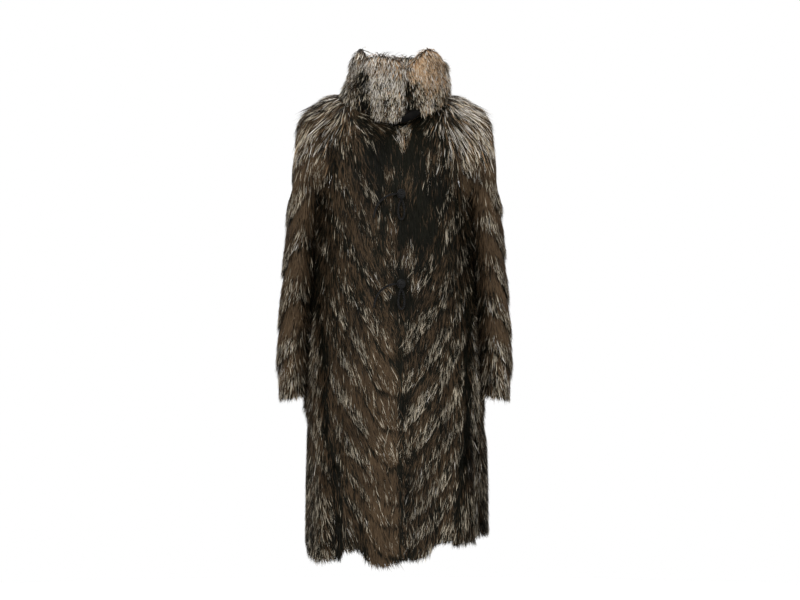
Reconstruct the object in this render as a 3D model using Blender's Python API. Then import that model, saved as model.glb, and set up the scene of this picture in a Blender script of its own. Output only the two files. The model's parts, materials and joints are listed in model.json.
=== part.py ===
"""Full-length fur coat, filled out and hollow, as it hangs when the neck holds it up.

Metres, +Z up, the front faces -Y and the wearer's left is +X. The origin is in the
middle of the neck opening. Every wall is hide and pile together, out to the fur's reach.
"""

import math

import bpy
import numpy as np

SEAM_GAP = 0.0003
REST_GAP = 0.0007
SEAT_GAP = 0.0008
BODY_WALL = 0.018
SLEEVE_WALL = 0.016
OPENING_X = 0.012

PANEL_COLUMNS = 14
BACK_COLUMNS = 24
ARMHOLE_STEPS = 8
ARMHOLE_SPREAD = 36.0
UNDERARM_LEVEL = 0.825
SHOULDER_LEVEL = 1.062
NECK_LEVEL = 1.132
LOWER_LEVELS = (0.0, 0.09, 0.19, 0.32, 0.46, 0.60, 0.72)
YOKE_LEVELS = (1.088, 1.112)
HEM_LEVEL_HEIGHT = -1.040
HEM_WAVE_REACH = 0.26

# Sections of the body from hem to neck. A level is the distance up the side seam.
# level, side z, front z, back z, half width, front depth, back depth, squareness
BODY_SECTIONS = (
    (0.000, -1.040, -1.040, -1.040, 0.211, 0.180, 0.186, 2.30),
    (0.160, -0.880, -0.880, -0.880, 0.210, 0.178, 0.183, 2.30),
    (0.340, -0.700, -0.700, -0.700, 0.204, 0.172, 0.177, 2.30),
    (0.540, -0.500, -0.500, -0.500, 0.192, 0.165, 0.170, 2.32),
    (0.690, -0.350, -0.350, -0.350, 0.182, 0.160, 0.165, 2.36),
    (0.825, -0.215, -0.215, -0.215, 0.176, 0.158, 0.161, 2.40),
    (0.920, -0.120, -0.130, -0.120, 0.178, 0.156, 0.157, 2.40),
    (0.990, -0.050, -0.080, -0.050, 0.180, 0.148, 0.147, 2.35),
    (1.035, -0.006, -0.054, -0.006, 0.180, 0.138, 0.133, 2.25),
    (1.062, 0.020, -0.041, 0.014, 0.174, 0.128, 0.121, 2.15),
    (1.098, 0.037, -0.030, 0.034, 0.142, 0.113, 0.105, 2.05),
    (1.132, 0.044, -0.022, 0.044, 0.106, 0.097, 0.089, 2.00),
)

# The hem's height round the coat, from the centre front over the wearer's left side.
# angle, hem z
HEM_WAVE = (
    (0, -1.056),
    (18, -1.054),
    (27, -1.016),
    (34, -1.010),
    (43, -1.024),
    (60, -1.014),
    (78, -1.000),
    (92, -0.992),
    (120, -1.030),
    (138, -1.018),
    (160, -1.040),
    (182, -1.030),
    (204, -1.044),
    (226, -1.024),
    (250, -1.036),
    (270, -1.012),
    (288, -1.052),
    (303, -1.064),
    (317, -1.056),
    (328, -1.034),
    (338, -1.032),
    (347, -1.070),
    (356, -1.074),
    (360, -1.060),
)

# Folds that open towards the hem.
# angle, half width in degrees, depth at the hem, height where it starts
HEM_FOLDS = (
    (317, 9.0, 0.022, -0.62),
    (64, 9.0, 0.024, -0.62),
    (28, 8.0, 0.012, -0.86),
    (338, 8.0, 0.010, -0.86),
    (112, 11.0, 0.016, -0.66),
    (150, 10.0, 0.020, -0.55),
    (180, 10.0, 0.010, -0.72),
    (212, 10.0, 0.020, -0.58),
    (248, 11.0, 0.015, -0.68),
)

# Sections of the wearer's left sleeve below the armhole, by their outer and inner points.
# outer x, outer z, inner x, inner z, half depth, y of the middle
SLEEVE_SECTIONS = (
    (0.202, 0.010, 0.1795, -0.2200, 0.088, 0.002),
    (0.224, -0.016, 0.1820, -0.2280, 0.091, 0.002),
    (0.239, -0.056, 0.1840, -0.2420, 0.093, 0.002),
    (0.246, -0.115, 0.1855, -0.2640, 0.092, 0.002),
    (0.249, -0.185, 0.1880, -0.2980, 0.089, 0.000),
    (0.253, -0.265, 0.1915, -0.3450, 0.085, -0.002),
    (0.260, -0.350, 0.1960, -0.4000, 0.082, -0.004),
    (0.267, -0.440, 0.2005, -0.4650, 0.080, -0.006),
    (0.273, -0.530, 0.2050, -0.5400, 0.078, -0.008),
    (0.275, -0.610, 0.2090, -0.6120, 0.077, -0.010),
    (0.268, -0.682, 0.2110, -0.6780, 0.073, -0.011),
)
SLEEVE_SQUARENESS = 2.3

# One collar roll, cut through: its share of the height and of the thickness.
# rise, reach
COLLAR_PROFILE = (
    (0.10, 1.16),
    (0.34, 1.34),
    (0.62, 1.34),
    (0.85, 1.14),
    (0.97, 0.80),
    (1.00, 0.48),
    (0.94, 0.16),
    (0.68, 0.00),
    (0.34, 0.00),
)

# Sections round each piece of the collar.
# angle, top z, thickness, level of the outer base
COLLAR_FRONT_RIGHT = (
    (-37.5, 0.112, 0.020, 1.112),
    (-33.0, 0.124, 0.028, 1.100),
    (-24.0, 0.131, 0.034, 1.086),
    (-13.0, 0.132, 0.036, 1.082),
    (-1.0, 0.128, 0.034, 1.082),
    (8.0, 0.120, 0.028, 1.092),
    (13.4, 0.108, 0.020, 1.108),
)
COLLAR_FRONT_LEFT = (
    (13.7, 0.104, 0.020, 1.110),
    (20.0, 0.118, 0.028, 1.096),
    (31.0, 0.138, 0.034, 1.084),
    (43.0, 0.151, 0.036, 1.084),
    (55.0, 0.150, 0.034, 1.090),
    (65.0, 0.144, 0.028, 1.102),
    (70.9, 0.132, 0.020, 1.114),
)
COLLAR_BACK = (
    (71.2, 0.122, 0.018, 1.116),
    (77.0, 0.128, 0.023, 1.112),
    (90.0, 0.122, 0.026, 1.108),
    (110.0, 0.122, 0.025, 1.108),
    (135.0, 0.131, 0.025, 1.108),
    (158.0, 0.138, 0.026, 1.108),
    (180.0, 0.140, 0.026, 1.108),
    (202.0, 0.138, 0.026, 1.108),
    (225.0, 0.131, 0.025, 1.108),
    (250.0, 0.121, 0.024, 1.108),
    (270.0, 0.114, 0.023, 1.110),
    (286.0, 0.132, 0.023, 1.110),
    (300.0, 0.148, 0.024, 1.110),
    (313.0, 0.152, 0.024, 1.112),
    (321.9, 0.136, 0.018, 1.112),
)

# Corded knots that close the front.
# height, distance from the opening
KNOTS = {"upper": (-0.196, 0.004), "lower": (-0.406, 0.004)}
KNOT_RADIUS = 0.0105
KNOT_FLATNESS = 0.8
KNOT_LENGTH = 1.15
CORD_RADIUS = 0.0024
LOOP_DROP = 0.046
LOOP_TUCK = 0.0015
LOOP_HALF_WIDTH = 0.009
TIE_REACH = 0.052
TIE_DROP = 0.055
STRAP_HALF_LENGTH = 0.028
STRAP_HALF_WIDTH = 0.010
STRAP_HALF_THICKNESS = 0.004
STRAP_PLACE = (0.035, -0.1274, -0.0145)
STRAP_SLOPE = 26.0


def between(table, place):
    """Reads a table at a place between its rows, on a smooth curve through them."""
    rows = np.array(table, float)
    keys = rows[:, 0]
    place = min(max(place, keys[0]), keys[-1])
    low = min(int(np.searchsorted(keys, place, side="right")) - 1, len(keys) - 2)
    span = keys[low + 1] - keys[low]
    share = (place - keys[low]) / span
    slopes = np.gradient(rows, keys, axis=0)
    start, end = rows[low], rows[low + 1]
    rise, fall = slopes[low] * span, slopes[low + 1] * span
    squared, cubed = share**2, share**3
    return (
        (2 * cubed - 3 * squared + 1) * start
        + (cubed - 2 * squared + share) * rise
        + (3 * squared - 2 * cubed) * end
        + (cubed - squared) * fall
    )


def rounded(value, squareness):
    """A sine or cosine, pushed out towards the corners of a squarer oval."""
    return math.copysign(abs(value) ** (2 / squareness), value)


def hem_wave(angle):
    """How far the hem lies below or above its level at this angle."""
    angle %= 360
    rows = np.array(HEM_WAVE, float)
    low = min(int(np.searchsorted(rows[:, 0], angle, side="right")) - 1, len(rows) - 2)
    share = (angle - rows[low, 0]) / (rows[low + 1, 0] - rows[low, 0])
    share = share**2 * (3 - 2 * share)
    height = rows[low, 1] + (rows[low + 1, 1] - rows[low, 1]) * share
    return height - HEM_LEVEL_HEIGHT


def fold_depth(angle, height):
    """How far the folds press the wall in."""
    depth = 0.0
    for middle, half_width, most, top in HEM_FOLDS:
        away = abs((angle - middle + 180) % 360 - 180) / half_width
        down = (top - height) / (top - HEM_LEVEL_HEIGHT)
        if away < 1 and down > 0:
            depth += most * math.cos(away * math.pi / 2) ** 2 * min(down, 1)
    return depth


def plain_point(angle, level):
    """A point of the body's outer surface before its folds."""
    _, side, front, back, half_width, front_depth, back_depth, square = between(
        BODY_SECTIONS, level
    )
    sine, cosine = math.sin(math.radians(angle)), math.cos(math.radians(angle))
    depth, centre_height = (front_depth, front) if cosine > 0 else (back_depth, back)
    height = side + (centre_height - side) * cosine**2
    height += hem_wave(angle) * max(1 - level / HEM_WAVE_REACH, 0) ** 2
    return np.array(
        (half_width * rounded(sine, square), -depth * rounded(cosine, square), height)
    )


def outward(angle, level):
    """The direction that the body's surface faces."""
    turn, rise = 0.5, 0.004
    low, high = max(level - rise, 0), min(level + rise, NECK_LEVEL)
    across = plain_point(angle + turn, level) - plain_point(angle - turn, level)
    along = plain_point(angle, high) - plain_point(angle, low)
    facing = np.cross(across, along)
    return facing / np.linalg.norm(facing)


def body_point(angle, level, inwards=0.0):
    """A point of the body's wall, this far in from its outer surface."""
    point = plain_point(angle, level)
    return point - outward(angle, level) * (inwards + fold_depth(angle, point[2]))


def armhole_spread(level):
    """Half the angle that the armhole takes up at this level."""
    share = (level - UNDERARM_LEVEL) / (SHOULDER_LEVEL - UNDERARM_LEVEL)
    if not 0 < share < 1:
        return 0.0
    return ARMHOLE_SPREAD * 2 * math.sqrt(share * (1 - share))


def armhole_levels():
    span = (SHOULDER_LEVEL - UNDERARM_LEVEL) / 2
    turns = [math.pi * step / ARMHOLE_STEPS for step in range(ARMHOLE_STEPS + 1)]
    return [UNDERARM_LEVEL + span * (1 - math.cos(turn)) for turn in turns]


def opening_angle(level):
    """The angle at which the front opening's straight line lies."""
    half_width, square = between(BODY_SECTIONS, level)[[4, 7]]
    return math.degrees(math.asin((OPENING_X / half_width) ** (square / 2)))


def material(name, colour, roughness):
    made = bpy.data.materials.new(name)
    made.use_nodes = True
    shader = made.node_tree.nodes["Principled BSDF"]
    shader.inputs["Base Color"].default_value = (*colour, 1.0)
    shader.inputs["Roughness"].default_value = roughness
    shader.inputs["Metallic"].default_value = 0.0
    return made


def add_object(name, mesh, finish):
    made = bpy.data.objects.new(name, mesh)
    mesh.materials.clear()
    mesh.materials.append(finish)
    coat.objects.link(made)
    return made


def drawn_back(grid):
    """Moves a panel's two side edges in by half a seam gap."""
    grid = grid.copy()
    for edge, beside in ((0, 1), (-1, -2)):
        inward = grid[:, beside] - grid[:, edge]
        inward /= np.linalg.norm(inward, axis=1, keepdims=True)
        grid[:, edge] += inward * SEAM_GAP / 2
    return grid


def rim_faces(points, a, b, inside):
    """Closes the wall's edge. The split starts at the lower point, as on the next piece."""
    if points[a][2] < points[b][2]:
        return [(a, b, inside + b), (a, inside + b, inside + a)]
    return [(a, b, inside + a), (b, inside + b, inside + a)]


def lofted_wall(name, outer, inner, finish, tube=False):
    """A closed wall between two grids of points, a row for each section."""
    rows, columns = outer.shape[:2]
    points = np.concatenate((outer.reshape(-1, 3), inner.reshape(-1, 3)))
    inside = rows * columns
    steps = columns if tube else columns - 1
    faces = []
    for row in range(rows - 1):
        for column in range(steps):
            a, b = row * columns + column, row * columns + (column + 1) % columns
            faces.append((a, b, b + columns, a + columns))
            faces.append(tuple(inside + k for k in (a, a + columns, b + columns, b)))
    last_row, last_column = (rows - 1) * columns, columns - 1
    for column in range(steps):
        a, b = column, (column + 1) % columns
        faces += rim_faces(points, b, a, inside)
        faces += rim_faces(points, a + last_row, b + last_row, inside)
    if not tube:
        for a in range(0, last_row, columns):
            b = a + columns
            faces += rim_faces(points, a, b, inside)
            faces += rim_faces(points, b + last_column, a + last_column, inside)
    mesh = bpy.data.meshes.new(name)
    mesh.from_pydata(points.tolist(), [], faces)
    mesh.shade_smooth()
    mesh.set_sharp_from_angle(angle=math.radians(50))
    return add_object(name, mesh, finish)


def body_panel(name, edges, columns, finish):
    """A panel from hem to neck. edges(level) gives its first and last angle."""
    levels = [*LOWER_LEVELS, *armhole_levels(), *YOKE_LEVELS, NECK_LEVEL]
    outer, inner = [], []
    for level in levels:
        angles = np.linspace(*edges(level), columns + 1)
        outer.append([body_point(angle, level) for angle in angles])
        inner.append([body_point(angle, level, BODY_WALL) for angle in angles])
    return lofted_wall(
        name, drawn_back(np.array(outer)), drawn_back(np.array(inner)), finish
    )


def armhole_ring(side, inwards):
    """The armhole's edge, from the shoulder down the front and up the back."""
    levels = armhole_levels()
    front = [(90 - armhole_spread(k), k) for k in reversed(levels)]
    back = [(90 + armhole_spread(k), k) for k in levels[1:-1]]
    return np.array([body_point(side * angle, k, inwards) for angle, k in front + back])


def sleeve_ring(section, side):
    outer_x, outer_z, inner_x, inner_z, half_depth, middle = section
    outer = np.array((side * outer_x, middle, outer_z))
    inner = np.array((side * inner_x, middle, inner_z))
    count = 2 * ARMHOLE_STEPS
    ring = []
    for step in range(count):
        turn = 2 * math.pi * step / count
        across = rounded(math.cos(turn), SLEEVE_SQUARENESS)
        forward = rounded(math.sin(turn), SLEEVE_SQUARENESS)
        point = (outer + inner) / 2 + (outer - inner) / 2 * across
        ring.append(point + np.array((0, -half_depth * forward, 0)))
    return np.array(ring)


def sleeve(name, side, finish):
    """A tube sewn to the armhole. side is 1 for the wearer's left and -1 for the right."""
    rings = [armhole_ring(side, 0.0)]
    rings += [sleeve_ring(section, side) for section in SLEEVE_SECTIONS]
    outer = np.array(rings)
    along = np.gradient(outer, axis=0)
    around = np.roll(outer, -1, axis=1) - np.roll(outer, 1, axis=1)
    facing = np.cross(around, along) * side
    facing /= np.linalg.norm(facing, axis=2, keepdims=True)
    inner = outer - facing * SLEEVE_WALL
    inner[0] = armhole_ring(side, SLEEVE_WALL)
    edge = np.roll(outer[0], -1, axis=0) - np.roll(outer[0], 1, axis=0)
    clear = np.cross(outer[0] - inner[0], edge) * side
    clear /= np.linalg.norm(clear, axis=1, keepdims=True)
    outer[0] += clear * REST_GAP
    inner[0] += clear * REST_GAP
    if side < 0:
        outer, inner = outer[:, ::-1], inner[:, ::-1]
    return lofted_wall(name, outer, inner, finish, tube=True)


def collar_section(angle, top, thickness, outer_level):
    """One closed cut through the collar, seated on the body's surface."""
    seat_levels = np.linspace(NECK_LEVEL, outer_level, 3)
    section = [body_point(angle, level, -SEAT_GAP) for level in seat_levels]
    inner_base = section[0]
    radial = inner_base * (1, 1, 0) / np.linalg.norm(inner_base[:2])
    for rise, reach in COLLAR_PROFILE:
        point = inner_base + radial * thickness * reach
        point[2] += (top - inner_base[2]) * rise
        section.append(point)
    return section


def collar_piece(name, table, finish):
    """A roll through its sections, closed at both ends."""
    first, last = table[0][0], table[-1][0]
    steps = max(round((last - first) / 6.5), 6)
    rows = [between(table, place) for place in np.linspace(first, last, steps + 1)]
    grid = np.array([collar_section(*row) for row in rows])
    sections, points = grid.shape[:2]
    faces = []
    for row in range(sections - 1):
        for point in range(points):
            a, b = row * points + point, row * points + (point + 1) % points
            faces.append((a, a + points, b + points, b))
    start, end = range(points), range((sections - 1) * points, sections * points)
    faces += [tuple(start), tuple(reversed(end))]
    mesh = bpy.data.meshes.new(name)
    mesh.from_pydata(grid.reshape(-1, 3).tolist(), [], faces)
    mesh.shade_smooth()
    mesh.set_sharp_from_angle(angle=math.radians(55))
    return add_object(name, mesh, finish)


def front_surface(x, height):
    """The depth, in y, of the front's outer surface at this place."""
    rows = np.array(BODY_SECTIONS)
    level = np.interp(height, rows[:, 2], rows[:, 0])
    half_width, depth, square = between(BODY_SECTIONS, level)[[4, 5, 7]]
    return -depth * (1 - abs(x / half_width) ** square) ** (1 / square)


def shaped_ball(name, scale, finish):
    """Stretches the ball just added and puts it among the coat's pieces."""
    ball = bpy.context.active_object
    ball.scale = scale
    bpy.ops.object.transform_apply(location=False, rotation=False, scale=True)
    ball.name = name
    ball.data.materials.append(finish)
    ball.data.shade_smooth()
    for holder in list(ball.users_collection):
        holder.objects.unlink(ball)
    coat.objects.link(ball)
    return ball


def knot(name, place, finish):
    """A round corded knot, flattened against the front."""
    x, height = OPENING_X + place[1], place[0]
    depth = front_surface(x, height) - REST_GAP - KNOT_RADIUS * KNOT_FLATNESS
    bpy.ops.mesh.primitive_uv_sphere_add(
        segments=14, ring_count=9, radius=KNOT_RADIUS, location=(x, depth, height)
    )
    return shaped_ball(name, (1.0, KNOT_FLATNESS, KNOT_LENGTH), finish)


def cord(name, points, finish, closed=False):
    """A round cord along points that lie on the front."""
    curve = bpy.data.curves.new(name, "CURVE")
    curve.dimensions = "3D"
    curve.bevel_depth = CORD_RADIUS
    curve.bevel_resolution = 1
    curve.use_fill_caps = not closed
    spline = curve.splines.new("POLY")
    spline.points.add(len(points) - 1)
    for slot, point in zip(spline.points, points, strict=True):
        slot.co = (*point, 1.0)
    spline.use_cyclic_u = closed
    return add_object(name, curve, finish)


def on_front(x, height, out=0.0):
    return (x, front_surface(x, height) - REST_GAP - CORD_RADIUS - out, height)


def hanging_loop(place):
    """A closed loop under the knot."""
    x = OPENING_X + place[1]
    top = place[0] - KNOT_RADIUS * KNOT_LENGTH - CORD_RADIUS + LOOP_TUCK
    points = []
    for step in range(14):
        turn = 2 * math.pi * step / 14
        swell = 0.55 + 0.45 * math.sin(turn / 2) ** 2
        height = top - LOOP_DROP / 2 * (1 - math.cos(turn))
        points.append(on_front(x + LOOP_HALF_WIDTH * swell * math.sin(turn), height))
    return points


def side_tie(place):
    """The cord that runs from the knot to where it is sewn on the right front."""
    x, height = OPENING_X + place[1] - KNOT_RADIUS - REST_GAP, place[0]
    rise = KNOT_RADIUS * KNOT_FLATNESS - CORD_RADIUS
    points = []
    for step in range(9):
        turn = step / 8 * math.pi / 2
        across, down = TIE_REACH * math.sin(turn), TIE_DROP * (1 - math.cos(turn))
        points.append(on_front(x - across, height - down, rise * (1 - step / 8) ** 3))
    return points


def neck_strap(finish):
    """The short leather strap that closes the collar."""
    bpy.ops.mesh.primitive_uv_sphere_add(
        segments=16,
        ring_count=8,
        radius=1.0,
        location=STRAP_PLACE,
        rotation=(0.0, -math.radians(STRAP_SLOPE), 0.0),
    )
    size = (STRAP_HALF_LENGTH, STRAP_HALF_THICKNESS, STRAP_HALF_WIDTH)
    return shaped_ball("neck_strap", size, finish)


for old in list(bpy.data.objects):
    bpy.data.objects.remove(old, do_unlink=True)
coat = bpy.data.collections.new("fur_coat")
bpy.context.scene.collection.children.link(coat)

brown_fur = material("brown_fur", (0.052, 0.036, 0.024), 0.75)
collar_fur = material("collar_fur", (0.20, 0.15, 0.105), 0.75)
black_cord = material("black_cord", (0.008, 0.007, 0.007), 0.5)
black_leather = material("black_leather", (0.010, 0.009, 0.009), 0.4)


def right_edges(level):
    return -90 + armhole_spread(level), opening_angle(level)


def left_edges(level):
    return opening_angle(level), 90 - armhole_spread(level)


def back_edges(level):
    return 90 + armhole_spread(level), 270 - armhole_spread(level)


body_panel("front_right", right_edges, PANEL_COLUMNS + 1, brown_fur)
body_panel("front_left", left_edges, PANEL_COLUMNS, brown_fur)
body_panel("back", back_edges, BACK_COLUMNS, brown_fur)
sleeve("sleeve_right", -1, brown_fur)
sleeve("sleeve_left", 1, brown_fur)
collar_piece("collar_front_right", COLLAR_FRONT_RIGHT, collar_fur)
collar_piece("collar_front_left", COLLAR_FRONT_LEFT, collar_fur)
collar_piece("collar_back", COLLAR_BACK, collar_fur)
for where, place in KNOTS.items():
    knot("knot_" + where, place, black_cord)
    cord("loop_" + where, hanging_loop(place), black_cord, closed=True)
    cord("tie_" + where, side_tie(place), black_cord)
neck_strap(black_leather)
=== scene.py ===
"""The fur coat's finish: hide panels with their lining, long guard hair, collar rolls
and corded closures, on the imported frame.

Metres, +Z up, the front faces -Y and the wearer's left is +X. Angles run from the centre
front over the wearer's left side. A level is the distance up the side seam.
"""

import json
import math

import bpy
import numpy as np
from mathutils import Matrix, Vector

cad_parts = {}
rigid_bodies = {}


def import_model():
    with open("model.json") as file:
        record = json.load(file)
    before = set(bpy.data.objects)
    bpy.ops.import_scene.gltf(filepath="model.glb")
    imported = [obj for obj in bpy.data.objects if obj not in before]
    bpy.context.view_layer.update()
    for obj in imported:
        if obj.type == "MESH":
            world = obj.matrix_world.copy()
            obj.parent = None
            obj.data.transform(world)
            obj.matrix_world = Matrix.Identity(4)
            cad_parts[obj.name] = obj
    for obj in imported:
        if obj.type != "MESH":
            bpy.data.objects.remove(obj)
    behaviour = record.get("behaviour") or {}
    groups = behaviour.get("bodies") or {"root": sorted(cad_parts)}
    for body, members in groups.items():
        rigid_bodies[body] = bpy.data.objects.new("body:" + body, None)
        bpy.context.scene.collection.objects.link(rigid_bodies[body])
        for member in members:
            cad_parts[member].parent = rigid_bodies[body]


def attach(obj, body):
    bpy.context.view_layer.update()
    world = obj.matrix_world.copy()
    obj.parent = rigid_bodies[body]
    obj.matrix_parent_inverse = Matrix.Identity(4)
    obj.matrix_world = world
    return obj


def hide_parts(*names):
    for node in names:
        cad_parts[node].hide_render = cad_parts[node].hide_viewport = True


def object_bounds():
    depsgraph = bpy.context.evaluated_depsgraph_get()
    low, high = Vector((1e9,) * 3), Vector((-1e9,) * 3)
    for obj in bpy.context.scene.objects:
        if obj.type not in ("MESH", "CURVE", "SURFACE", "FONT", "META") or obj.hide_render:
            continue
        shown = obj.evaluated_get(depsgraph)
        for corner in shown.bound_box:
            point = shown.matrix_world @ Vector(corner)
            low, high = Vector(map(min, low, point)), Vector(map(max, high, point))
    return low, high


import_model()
cad_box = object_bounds()
for thing in bpy.data.objects:
    thing.select_set(False)

# ---------------------------------------------------------------- the coat's cut
BODY_WALL = 0.018
SLEEVE_WALL = 0.016
OPENING_X = 0.012
ARMHOLE_STEPS = 16
ARMHOLE_SPREAD = 36.0
UNDERARM_LEVEL = 0.825
SHOULDER_LEVEL = 1.062
NECK_LEVEL = 1.132
HEM_LEVEL_HEIGHT = -1.040
HEM_WAVE_REACH = 0.26
SLEEVE_SQUARENESS = 2.3
KNOTS = {"upper": (-0.196, 0.004), "lower": (-0.406, 0.004)}  # height, from the opening

# level, side z, front z, back z, half width, front depth, back depth, squareness
BODY_SECTIONS = (
    (0.000, -1.040, -1.040, -1.040, 0.211, 0.180, 0.186, 2.30),
    (0.160, -0.880, -0.880, -0.880, 0.210, 0.178, 0.183, 2.30),
    (0.340, -0.700, -0.700, -0.700, 0.204, 0.172, 0.177, 2.30),
    (0.540, -0.500, -0.500, -0.500, 0.192, 0.165, 0.170, 2.32),
    (0.690, -0.350, -0.350, -0.350, 0.182, 0.160, 0.165, 2.36),
    (0.825, -0.215, -0.215, -0.215, 0.176, 0.158, 0.161, 2.40),
    (0.920, -0.120, -0.130, -0.120, 0.178, 0.156, 0.157, 2.40),
    (0.990, -0.050, -0.080, -0.050, 0.180, 0.148, 0.147, 2.35),
    (1.035, -0.006, -0.054, -0.006, 0.180, 0.138, 0.133, 2.25),
    (1.062, 0.020, -0.041, 0.014, 0.174, 0.128, 0.121, 2.15),
    (1.098, 0.037, -0.030, 0.034, 0.142, 0.113, 0.105, 2.05),
    (1.132, 0.044, -0.022, 0.044, 0.106, 0.097, 0.089, 2.00),
)
# angle, hem z
HEM_WAVE = (
    (0, -1.056), (18, -1.054), (27, -1.016), (34, -1.010), (43, -1.024), (60, -1.014),
    (78, -1.000), (92, -0.992), (120, -1.030), (138, -1.018), (160, -1.040),
    (182, -1.030), (204, -1.044), (226, -1.024), (250, -1.036), (270, -1.012),
    (288, -1.052), (303, -1.064), (317, -1.056), (328, -1.034), (338, -1.032),
    (347, -1.070), (356, -1.074), (360, -1.060),
)
# angle, half width in degrees, depth at the hem, height where it starts
HEM_FOLDS = (
    (317, 9.0, 0.022, -0.62), (64, 9.0, 0.024, -0.62), (28, 8.0, 0.012, -0.86),
    (338, 8.0, 0.010, -0.86), (112, 11.0, 0.016, -0.66), (150, 10.0, 0.020, -0.55),
    (180, 10.0, 0.010, -0.72), (212, 10.0, 0.020, -0.58), (248, 11.0, 0.015, -0.68),
)
# outer x, outer z, inner x, inner z, half depth, y of the middle
SLEEVE_SECTIONS = (
    (0.202, 0.010, 0.1795, -0.2200, 0.088, 0.002),
    (0.224, -0.016, 0.1820, -0.2280, 0.091, 0.002),
    (0.239, -0.056, 0.1840, -0.2420, 0.093, 0.002),
    (0.246, -0.115, 0.1855, -0.2640, 0.092, 0.002),
    (0.249, -0.185, 0.1880, -0.2980, 0.089, 0.000),
    (0.253, -0.265, 0.1915, -0.3450, 0.085, -0.002),
    (0.260, -0.350, 0.1960, -0.4000, 0.082, -0.004),
    (0.267, -0.440, 0.2005, -0.4650, 0.080, -0.006),
    (0.273, -0.530, 0.2050, -0.5400, 0.078, -0.008),
    (0.275, -0.610, 0.2090, -0.6120, 0.077, -0.010),
    (0.268, -0.682, 0.2110, -0.6780, 0.073, -0.011),
)
# One collar roll, cut through: its share of the height and of the thickness.
COLLAR_PROFILE = (
    (0.10, 1.16), (0.34, 1.34), (0.62, 1.34), (0.85, 1.14), (0.97, 0.80),
    (1.00, 0.48), (0.94, 0.16), (0.68, 0.00), (0.34, 0.00), (0.02, 0.00),
)
# angle, top z, thickness, level of the outer base
COLLAR_FRONT_RIGHT = (
    (-37.5, 0.112, 0.020, 1.112), (-33.0, 0.124, 0.028, 1.100),
    (-24.0, 0.131, 0.034, 1.086), (-13.0, 0.132, 0.036, 1.082),
    (-1.0, 0.128, 0.034, 1.082), (8.0, 0.120, 0.028, 1.092), (13.4, 0.108, 0.020, 1.108),
)
COLLAR_FRONT_LEFT = (
    (13.7, 0.104, 0.020, 1.110), (20.0, 0.118, 0.028, 1.096),
    (31.0, 0.138, 0.034, 1.084), (43.0, 0.151, 0.036, 1.084),
    (55.0, 0.150, 0.034, 1.090), (65.0, 0.144, 0.028, 1.102), (70.9, 0.132, 0.020, 1.114),
)
COLLAR_BACK = (
    (71.2, 0.122, 0.018, 1.116), (77.0, 0.128, 0.023, 1.112), (90.0, 0.122, 0.026, 1.108),
    (110.0, 0.122, 0.025, 1.108), (135.0, 0.131, 0.025, 1.108),
    (158.0, 0.138, 0.026, 1.108), (180.0, 0.140, 0.026, 1.108),
    (202.0, 0.138, 0.026, 1.108), (225.0, 0.131, 0.025, 1.108),
    (250.0, 0.121, 0.024, 1.108), (270.0, 0.114, 0.023, 1.110),
    (286.0, 0.132, 0.023, 1.110), (300.0, 0.148, 0.024, 1.110),
    (313.0, 0.152, 0.024, 1.112), (321.9, 0.136, 0.018, 1.112),
)

# ---------------------------------------------------------------- the fur's lay
# Heights where the lower edges of the let-in strips meet the centre front.
STRIP_EDGES = (
    -1.12, -1.052, -0.986, -0.916, -0.833, -0.750, -0.665, -0.578, -0.475,
    -0.375, -0.275, -0.175, -0.075, 0.025, 0.125,
)
STRIP_SLOPE = 1.1
# The same along the inner side of each sleeve.
SLEEVE_EDGES = {
    -1: (-0.83, -0.725, -0.625, -0.522, -0.418, -0.300, -0.198, -0.090, 0.015, 0.12),
    1: (-0.80, -0.71, -0.62, -0.530, -0.441, -0.361, -0.265, -0.170, -0.070, 0.03, 0.13),
}
SLEEVE_EDGE_SLOPE = 0.75
# Lighter tufts in the dark chest: x, z, half width, half height, how pale
CHEST_TUFTS = (
    (0.022, -0.072, 0.009, 0.024, 0.85), (-0.009, -0.166, 0.009, 0.014, 0.0),
    (-0.006, -0.318, 0.010, 0.050, 0.15), (0.030, -0.360, 0.015, 0.024, 0.30),
    (-0.045, -0.275, 0.010, 0.040, 0.0), (0.082, -0.140, 0.006, 0.022, 0.35),
    (0.034, -0.188, 0.009, 0.026, 0.0), (-0.018, -0.216, 0.013, 0.016, 0.0),
    (0.044, -0.416, 0.012, 0.022, 0.15), (-0.018, -0.432, 0.014, 0.018, 0.1),
)
# How far the dark chest spreads each side of the opening: height, half width
CHEST_SPREAD = (
    (-0.50, 0), (-0.42, 0.035), (-0.30, 0.062), (-0.20, 0.092), (-0.10, 0.104), (-0.03, 0.085),
)
# The valleys of painted shade down the skirt: height, how far out on the wearer's left and right
SKIRT_VALLEYS = (
    (-1.02, 0.145, 0.126), (-0.845, 0.152, 0.129), (-0.727, 0.169, 0.157), (-0.50, 0.171, 0.163),
)
# How low the hair of the collar's fronts hangs: x, height of its ends
COLLAR_ENDS = (
    (-0.13, 0.03), (-0.066, 0.03), (-0.056, -0.004), (-0.036, -0.028), (-0.010, -0.038),
    (0.012, -0.032), (0.028, -0.004), (0.035, 0.020), (0.060, 0.020), (0.068, -0.016),
    (0.087, -0.036), (0.106, -0.016), (0.114, 0.02), (0.14, 0.03),
)
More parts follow.
